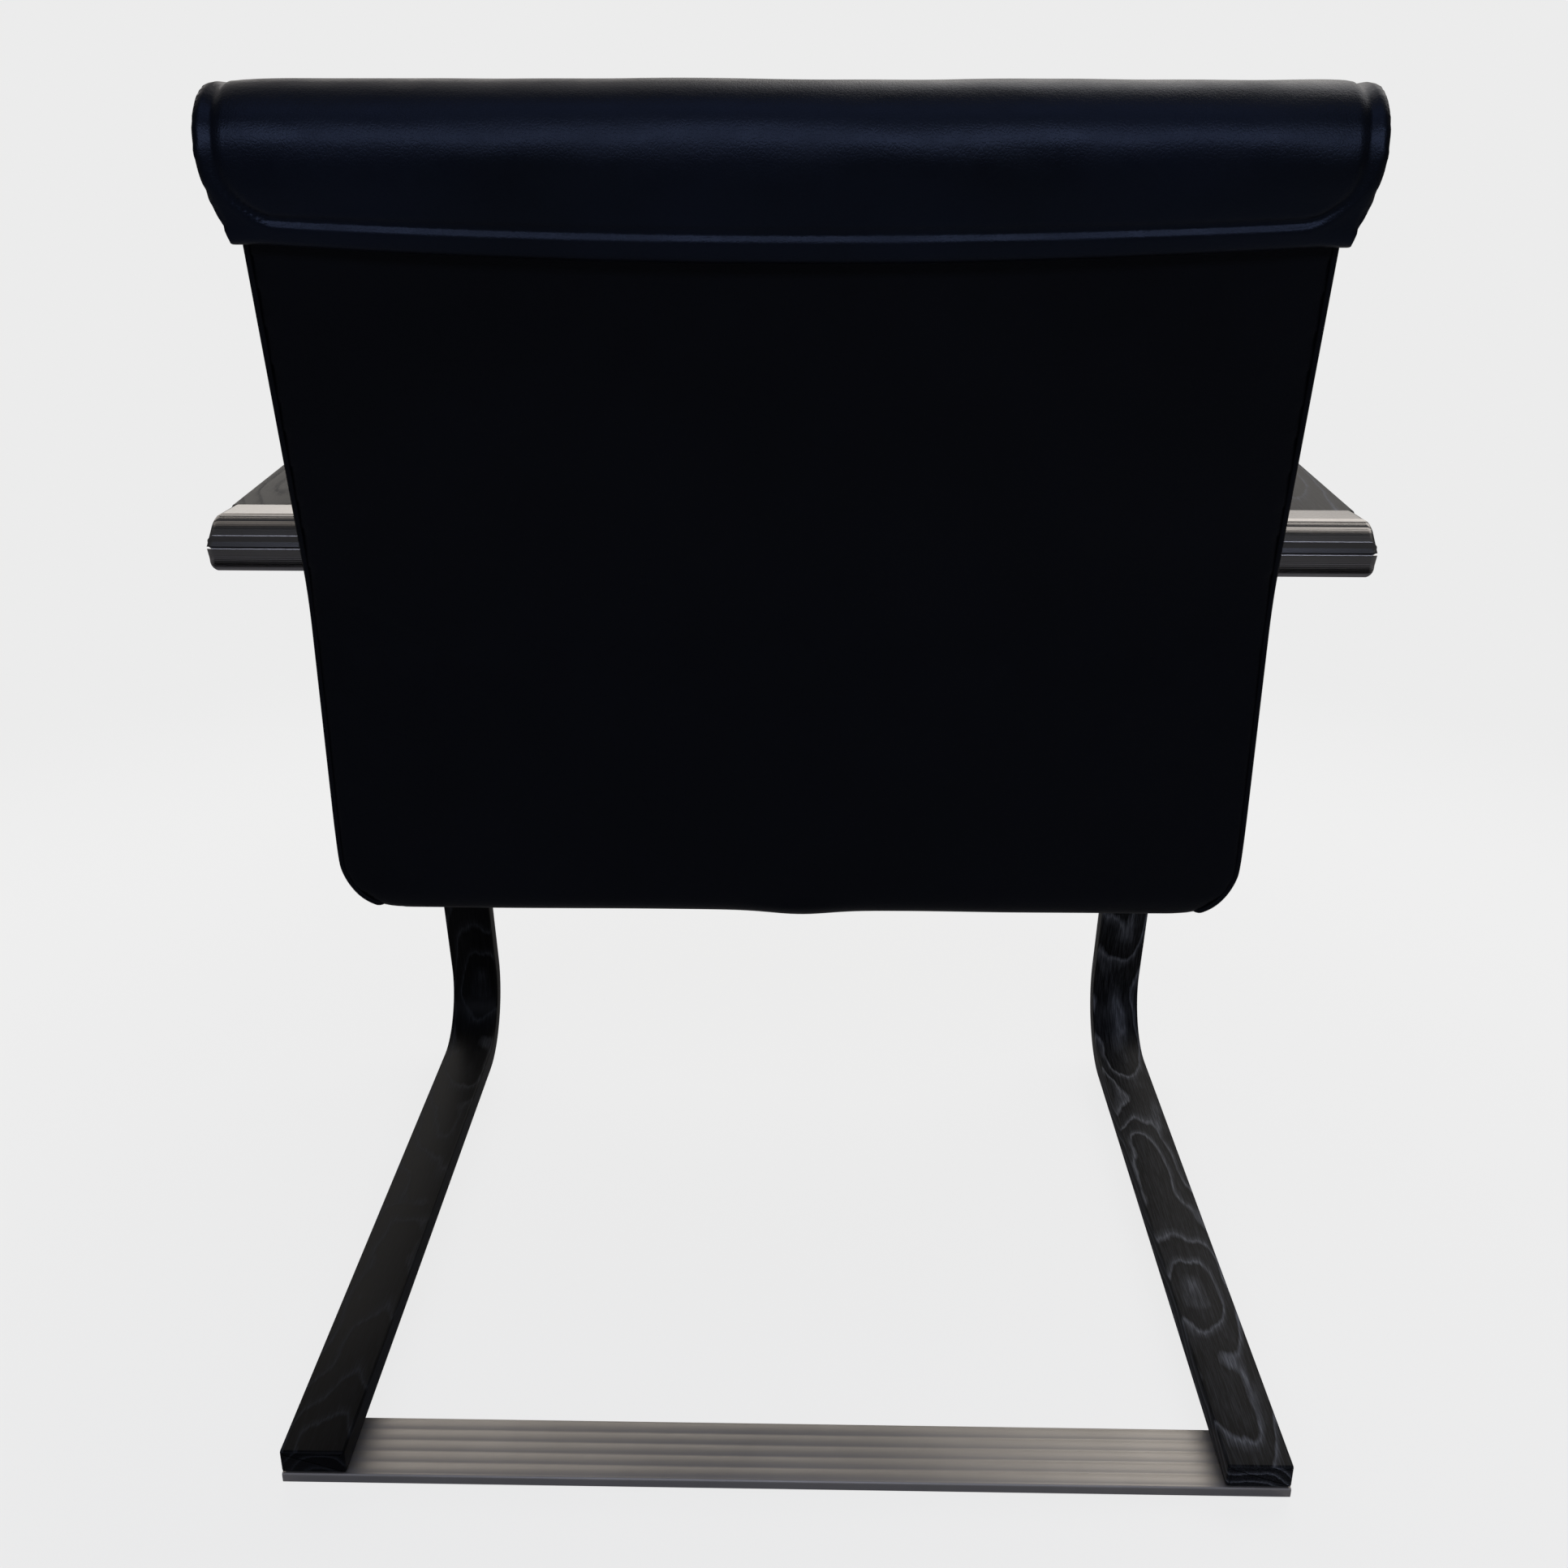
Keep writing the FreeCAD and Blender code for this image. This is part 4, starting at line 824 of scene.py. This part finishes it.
def buildSeatCushion(size):
    rear, front, lip = size["rear"], size["front"], size["lip"]
    lipLow = underside(body["front"]) + size["lipRise"]
    corners = [
        (rear, coreTop(rear) + size["lift"], size["heel"]),
        (lip + 0.4, coreTop(lip) + size["lift"], 0.0),
        (lip + 0.4, lipLow + 1, 2.0),
        (front, lipLow + 1, 4.0),
        (front, coreTop(front) + size["thickness"], size["nose"]),
        (rear, coreTop(rear) + size["thickness"], 6.0),
    ]
    piece = newPiece("seatCushion", sidePrism(corners, size["half"]), leather)
    remesh(piece, size["voxel"], 2)

    def held(place):
        depth = rearEdge - place.y
        above = place.z - coreTop(depth)
        if above < size["heldBelow"]:
            return 1.0
        return size["edgeHold"] * (1 - smoothStep(size["heldBelow"], size["freeAbove"], above))

    stuff(piece, held, size["pressure"], size["cap"])
    subdivideOnce(piece)

    def relief(place, normal):
        depth = rearEdge - place.y
        crown = max(0.0, 1 - (place.x / size["half"]) ** 2) * math.sin(
            math.pi * max(0.0, min(1.0, (depth - rear) / (front - rear))))
        rise = size["crown"] * crown if normal.z > 0.5 else 0.0
        edge = min(size["half"] - abs(place.x), depth - rear)
        if normal.z > 0.2:
            rise -= size["seamDepth"] * math.exp(-((edge - size["edgeSeam"]) / size["seamWidth"]) ** 2)
        return rise + size["wave"] * noise.noise(place / size["waveLength"])

    press(piece, relief)
    smoothAll(piece)
    return settle(piece, "leather", "seat_cushion")


buildSeatCushion(seatCushion)
report("seat cushion stuffed")


# back cushion

backCushion = {
    "half": 276.0, "low": 455.5, "top": 846.0, "thickness": 28.0, "lift": 0.6, "voxel": 6.5,
    "pressure": 4.0, "cap": 7.0, "heldBelow": 3.5, "freeAbove": 12.0, "heldFrom": 700.0, "edgeHold": 0.25,
    "crown": 4.0, "crownTop": 715.0, "edgeSeam": 20.0, "seamDepth": 1.3, "seamWidth": 2.4, "wave": 0.3,
    "waveLength": 60.0,
}


def buildBackCushion(size):
    low, top, thick = size["low"], size["top"], size["thickness"]
    corners = [
        (shellFace(low) + size["lift"], low, 3.0),
        (shellFace(low) + thick, low, 12.0),
        (body["shellFront"] + thick, body["shellKink"] + 3, 60.0),
        (shellFace(top) + thick, top, 8.0),
        (shellFace(top) + 0.8, top, 3.0),
        (body["shellFront"] + 0.8, body["shellKink"] + 0.4, 90.0),
    ]
    piece = newPiece("backCushion", sidePrism(corners, size["half"], 12), leather)
    remesh(piece, size["voxel"], 2)

    def held(place):
        ahead = (rearEdge - place.y) - shellFace(place.z)
        if ahead < size["heldBelow"] or place.z > size["heldFrom"]:
            return 1.0
        return size["edgeHold"] * (1 - smoothStep(size["heldBelow"], size["freeAbove"], ahead))

    stuff(piece, held, size["pressure"], size["cap"])
    subdivideOnce(piece)

    def relief(place, normal):
        share = max(0.0, min(1.0, (place.z - low) / (size["crownTop"] - low)))
        crown = max(0.0, 1 - (place.x / size["half"]) ** 2) * math.sin(math.pi * share)
        rise = size["crown"] * crown if normal.y < -0.5 else 0.0
        edge = min(size["half"] - abs(place.x), place.z - low)
        if normal.y < -0.2:
            rise -= size["seamDepth"] * math.exp(-((edge - size["edgeSeam"]) / size["seamWidth"]) ** 2)
        return rise + size["wave"] * noise.noise(place / size["waveLength"])

    press(piece, relief)
    smoothAll(piece)
    return settle(piece, "leather", "back_cushion")


buildBackCushion(backCushion)
report("back cushion stuffed")


# headrest

headrest = {
    "half": 291.0, "hemHalf": 281.5, "full": 846.0, "top": 873.0, "hem": 790.0, "flap": 15.0,
    "gap": 1.5, "padBehind": 31.0, "padDepth": 32.0, "padLow": 712.0, "topRound": 34.0, "voxel": 2.6,
    "seamHalf": 281.0, "seamLowHalf": 270.0, "seamHeight": 802.5, "seamRise": 6.5, "hemHeight": 788.2,
    "hemRise": 8.4, "hemFade": 830.0, "archHalf": 265.0, "panelCorner": 16.0, "groove": 2.3,
    "grooveWidth": 1.9, "swell": 1.6, "swellReach": 9.0, "gather": 0.25, "gatherPitch": 11.0,
    "gatherReach": 7.0, "ridge": 0.5, "ridgeAt": 4.0, "ridgeWidth": 3.0, "secondSeam": 11.5,
    "secondDepth": 1.0, "secondWidth": 1.5, "wave": 0.25, "panelWave": 0.55,
}


# half width of the headrest at a height: narrow at its hem, full above
def headrestHalf(height):
    share = max(0.0, min(1.0, (height - headrest["hem"]) / (headrest["full"] - headrest["hem"])))
    spread = headrest["half"] - headrest["hemHalf"]
    return headrest["hemHalf"] + spread * math.sin(math.pi / 2 * share)


# draws a straight block in at its ends, so that it follows the headrest's outline from behind
def taperEnds(piece):
    for vert in piece.data.vertices:
        height = vert.co.z / mm
        wide = headrestHalf(height)
        if abs(vert.co.x) / mm > body["half"]:
            over = (abs(vert.co.x) / mm - body["half"]) / (headrest["half"] - body["half"])
            vert.co.x = math.copysign((body["half"] + over * (wide - body["half"])) * mm, vert.co.x)


def hoodOuter():
    low, top = headrest["hem"] - 3, headrest["top"]
    back = headrest["gap"] + headrest["flap"]
    frontDepth = headrest["padBehind"] - 1
    corners = [
        (rearFace(low) - back, low, 5.0),
        (shellFace(low) + frontDepth, low, 0.0),
        (shellFace(top) + frontDepth, top, 0.0),
        (rearFace(top) - back, top, headrest["topRound"]),
    ]
    return newPiece("headrestHood", sidePrism(corners, headrest["half"], 16), headLeatherPaintedSheen)


def hoodInner():
    low = headrest["hem"] - 20
    high = body["top"] + headrest["gap"]
    corners = [
        (rearFace(low) - headrest["gap"], low, 0.0),
        (320.0, low, 0.0),
        (320.0, high, 0.0),
        (rearFace(high) - headrest["gap"], high, 10.0),
    ]
    return newPiece("hoodInner", sidePrism(corners, body["half"] + headrest["gap"]), headLeatherPaintedSheen)


def seamHeight(x):
    return headrest["seamHeight"] + headrest["seamRise"] * (x / headrest["archHalf"]) ** 2


def hemHeight(x):
    return headrest["hemHeight"] + headrest["hemRise"] * (x / headrest["archHalf"]) ** 2


def seamHalfAt(height):
    share = smoothStep(headrest["hem"] + 14, headrest["full"], height)
    spread = headrest["seamHalf"] - headrest["seamLowHalf"]
    return headrest["seamLowHalf"] + spread * math.sin(math.pi / 2 * share)


# signed distance from the seam round the rear panel: negative inside the panel
def panelDistance(x, z):
    radius = headrest["panelCorner"]
    right = abs(x) - seamHalfAt(z) + radius
    down = seamHeight(x) - z + radius
    outside = math.hypot(max(right, 0), max(down, 0))
    return outside + min(max(right, down), 0) - radius


def hoodRelief(place, normal):
    x, y, z = place
    if y < rearEdge - rearFace(z) - 1 and z < body["top"] + 2 and abs(x) < body["half"] + 6:
        return 0.0
    distance = panelDistance(x, z)
    gather = 0.5 + 0.5 * math.sin(2 * math.pi * x / headrest["gatherPitch"] + 1.3 * math.sin(x / 23))
    rise = -headrest["groove"] * math.exp(-(distance / headrest["grooveWidth"]) ** 2)
    if distance < 0:
        rise += (headrest["swell"] * (1 - math.exp(distance / headrest["swellReach"]))
                 + headrest["gather"] * gather * math.exp(-(distance / headrest["gatherReach"]) ** 2))
    else:
        rise += headrest["ridge"] * math.exp(-((distance - headrest["ridgeAt"]) / headrest["ridgeWidth"]) ** 2)
    second = abs(x) - seamHalfAt(z) - headrest["secondSeam"]
    if z > seamHeight(x) - 6:
        rise -= headrest["secondDepth"] * math.exp(-(second / headrest["secondWidth"]) ** 2)
    wave = noise.noise(Vector((x / 45, y / 30, z / 22)))
    return rise + headrest["panelWave"] * wave * smoothStep(0, 10, -distance) + headrest["wave"] * wave


def buildHood():
    piece = hoodOuter()
    combine(piece, hoodInner(), "DIFFERENCE")
    remesh(piece, headrest["voxel"], 3)
    taperEnds(piece)
    for vert in piece.data.vertices:  # the hem hangs lower at its middle
        x, z = vert.co.x / mm, vert.co.z / mm
        if z < headrest["hemFade"]:
            move = hemHeight(min(headrest["archHalf"], abs(x))) - (headrest["hem"] - 3)
            vert.co.z += move * (1 - smoothStep(headrest["hem"], headrest["hemFade"], z)) * mm
    press(piece, hoodRelief)
    smoothAll(piece)
    return settle(piece, "leather", "headrest_hood")


buildHood()


headrestPad = {
    "voxel": 5.5, "pressure": 4.0, "cap": 6.0, "heldBelow": 4.0, "freeAbove": 12.0, "edgeHold": 0.3,
    "crown": 2.0, "crownHalf": 298.0, "edgeSeam": 14.0, "seamDepth": 1.2, "seamWidth": 2.2, "wave": 0.3,
    "waveLength": 50.0,
}


def buildHeadrestPad(size):
    low, top = headrest["padLow"] + 2, headrest["top"] - 1
    behind, ahead = headrest["padBehind"], headrest["padBehind"] + headrest["padDepth"] - 2
    corners = [
        (shellFace(low) + behind, low, 5.0),
        (shellFace(low) + ahead, low, 13.0),
        (shellFace(top) + ahead, top, 22.0),
        (shellFace(top) + behind, top, 1.5),
    ]
    piece = newPiece("headrestPad", sidePrism(corners, headrest["half"] - 2), headLeatherPaintedSheen)
    remesh(piece, size["voxel"], 2)

    def held(place):
        ahead = (rearEdge - place.y) - shellFace(place.z) - headrest["padBehind"]
        if ahead < size["heldBelow"]:
            return 1.0
        return size["edgeHold"] * (1 - smoothStep(size["heldBelow"], size["freeAbove"], ahead))

    stuff(piece, held, size["pressure"], size["cap"])
    taperEnds(piece)
    subdivideOnce(piece)

    def relief(place, normal):
        x, z = place.x, place.z
        share = max(0.0, min(1.0, (z - low) / (top - low)))
        crown = max(0.0, 1 - (x / size["crownHalf"]) ** 2) * math.sin(math.pi * share)
        rise = size["crown"] * crown if normal.y < -0.5 else 0.0
        edge = min(headrestHalf(z) - abs(x), z - low)
        if normal.y < -0.2:
            rise -= size["seamDepth"] * math.exp(-((edge - size["edgeSeam"]) / size["seamWidth"]) ** 2)
        return rise + size["wave"] * noise.noise(place / size["waveLength"])

    press(piece, relief)
    smoothAll(piece)
    return settle(piece, "leather", "headrest_pad")


buildHeadrestPad(headrestPad)
report("headrest sewn")


# floor, light and camera

studio = {
    "backdrop": "#ececec",
    "floor": "#b0b0b0",
    "floorHalf": 60.0,
    "shadowFrom": 0.5,  # in metres from the chair's middle, where the floor's own shadow starts to fade
    "shadowTo": 1.8,
    "shadowShare": 0.72,
    "shadowLift": 1.31,
    "fill": 0.05,
    "fillColour": (0.9, 0.94, 1.0, 1),
    "lamps": [
        # name, place, aim, width, height, watts, colour
        ("lowFrontLeft", (1.5, -2.6, 1.6), (1.2, 0.2, 0.6), 2.8, 1.3, 15, "#fffaf4"),
        ("lowFrontRight", (-1.5, -2.6, 1.6), (-1.2, 0.2, 0.6), 2.8, 1.3, 9, "#fffaf4"),
        ("highFrontRight", (-1.62, -1.9, 2.8), (-1.62, 0.25, 0.0), 3.2, 2.2, 34, "#fffaf4"),
        ("highFrontLeft", (1.6, -1.9, 2.8), (1.6, 0.25, 0.0), 3.2, 2.2, 9, "#fff6ee"),
        ("rearSoftbox", (0.0, 1.9, 1.56), (0.0, 0.28, 0.85), 2.8, 0.36, 11, "#dfe6ff"),
        ("topSoftbox", (0.0, 0.9, 2.6), (0.0, 0.28, 0.85), 2.2, 0.8, 3.0, "#c4d2ff"),
    ],
}

bm = bmesh.new()
bmesh.ops.create_grid(bm, x_segments=1, y_segments=1, size=studio["floorHalf"])
floorMaterial, floorTree, floorShader = startMaterial("paleFloor", {"Base Color": srgb(studio["floor"]),
                                                                    "Roughness": 0.9})
spot = addNode(floorTree, "VectorMath", {"operation": "LENGTH"},
               {0: addNode(floorTree, "TexCoord").outputs["Object"]})
fade = {"From Min": studio["shadowFrom"], "From Max": studio["shadowTo"], "To Max": 1.0,
        "interpolation_type": "SMOOTHSTEP"}
away = spot.outputs["Value"]
far = addNode(floorTree, "MapRange", {**fade, "To Min": studio["shadowShare"]}, {"Value": away})
level = addNode(floorTree, "MapRange", {**fade, "To Min": studio["shadowLift"]}, {"Value": away})
rays = addNode(floorTree, "LightPath")
plain = addNode(floorTree, "Emission", {"Color": srgb(studio["backdrop"])},
                {"Strength": level.outputs["Result"]})
share = addNode(floorTree, "Math", {"operation": "MULTIPLY"},
                {0: rays.outputs["Is Camera Ray"], 1: far.outputs["Result"]})
mixed = addNode(floorTree, "MixShader", links={0: share.outputs["Value"], 1: floorShader.outputs["BSDF"],
                                               2: plain.outputs["Emission"]})
floorTree.links.new(mixed.outputs["Shader"], floorTree.nodes["Material Output"].inputs["Surface"])
newPiece("paleFloor", bm, floorMaterial)

world = bpy.data.worlds.new("studio")
scene.world = world
world.use_nodes = True
sky = world.node_tree
fill = sky.nodes["Background"]
fill.inputs["Color"].default_value = studio["fillColour"]
fill.inputs["Strength"].default_value = studio["fill"]
backdrop = addNode(sky, "Background", {"Color": srgb(studio["backdrop"]), "Strength": 1.0})
skyMix = addNode(sky, "MixShader", links={0: addNode(sky, "LightPath").outputs["Is Camera Ray"],
                                          1: fill.outputs["Background"], 2: backdrop.outputs["Background"]})
sky.links.new(skyMix.outputs["Shader"], sky.nodes["World Output"].inputs["Surface"])

for name, place, aim, width, height, watts, colour in studio["lamps"]:
    lamp = bpy.data.lights.new(name, "AREA")
    lamp.shape = "RECTANGLE"
    lamp.size, lamp.size_y = width, height
    lamp.energy = watts
    lamp.color = srgb(colour)[:3]
    holder = bpy.data.objects.new(name, lamp)
    scene.collection.objects.link(holder)
    holder.location = place
    holder.rotation_euler = (Vector(aim) - Vector(place)).to_track_quat("-Z", "Y").to_euler()

camera = {"place": (-0.0131, 1.1122, 0.8341), "pitch": -21.46, "yaw": 0.99, "roll": 0.11, "lens": 36.06,
          "sensor": 36.0}
shot = bpy.data.cameras.new("rearView")
shot.lens = camera["lens"]
shot.sensor_width = camera["sensor"]
shotHolder = bpy.data.objects.new("rearView", shot)
scene.collection.objects.link(shotHolder)
# looks along -Y, turned towards +X by the yaw, then tipped down and rolled
turned = Matrix.Rotation(math.radians(180 + camera["yaw"]), 4, "Z")
tipped = Matrix.Rotation(math.radians(90 + camera["pitch"]), 4, "X")
rolled = Matrix.Rotation(math.radians(camera["roll"]), 4, "Z")
shotHolder.matrix_world = Matrix.Translation(camera["place"]) @ turned @ tipped @ rolled
scene.camera = shotHolder
scene.view_settings.view_transform = "Standard"
report("studio set")
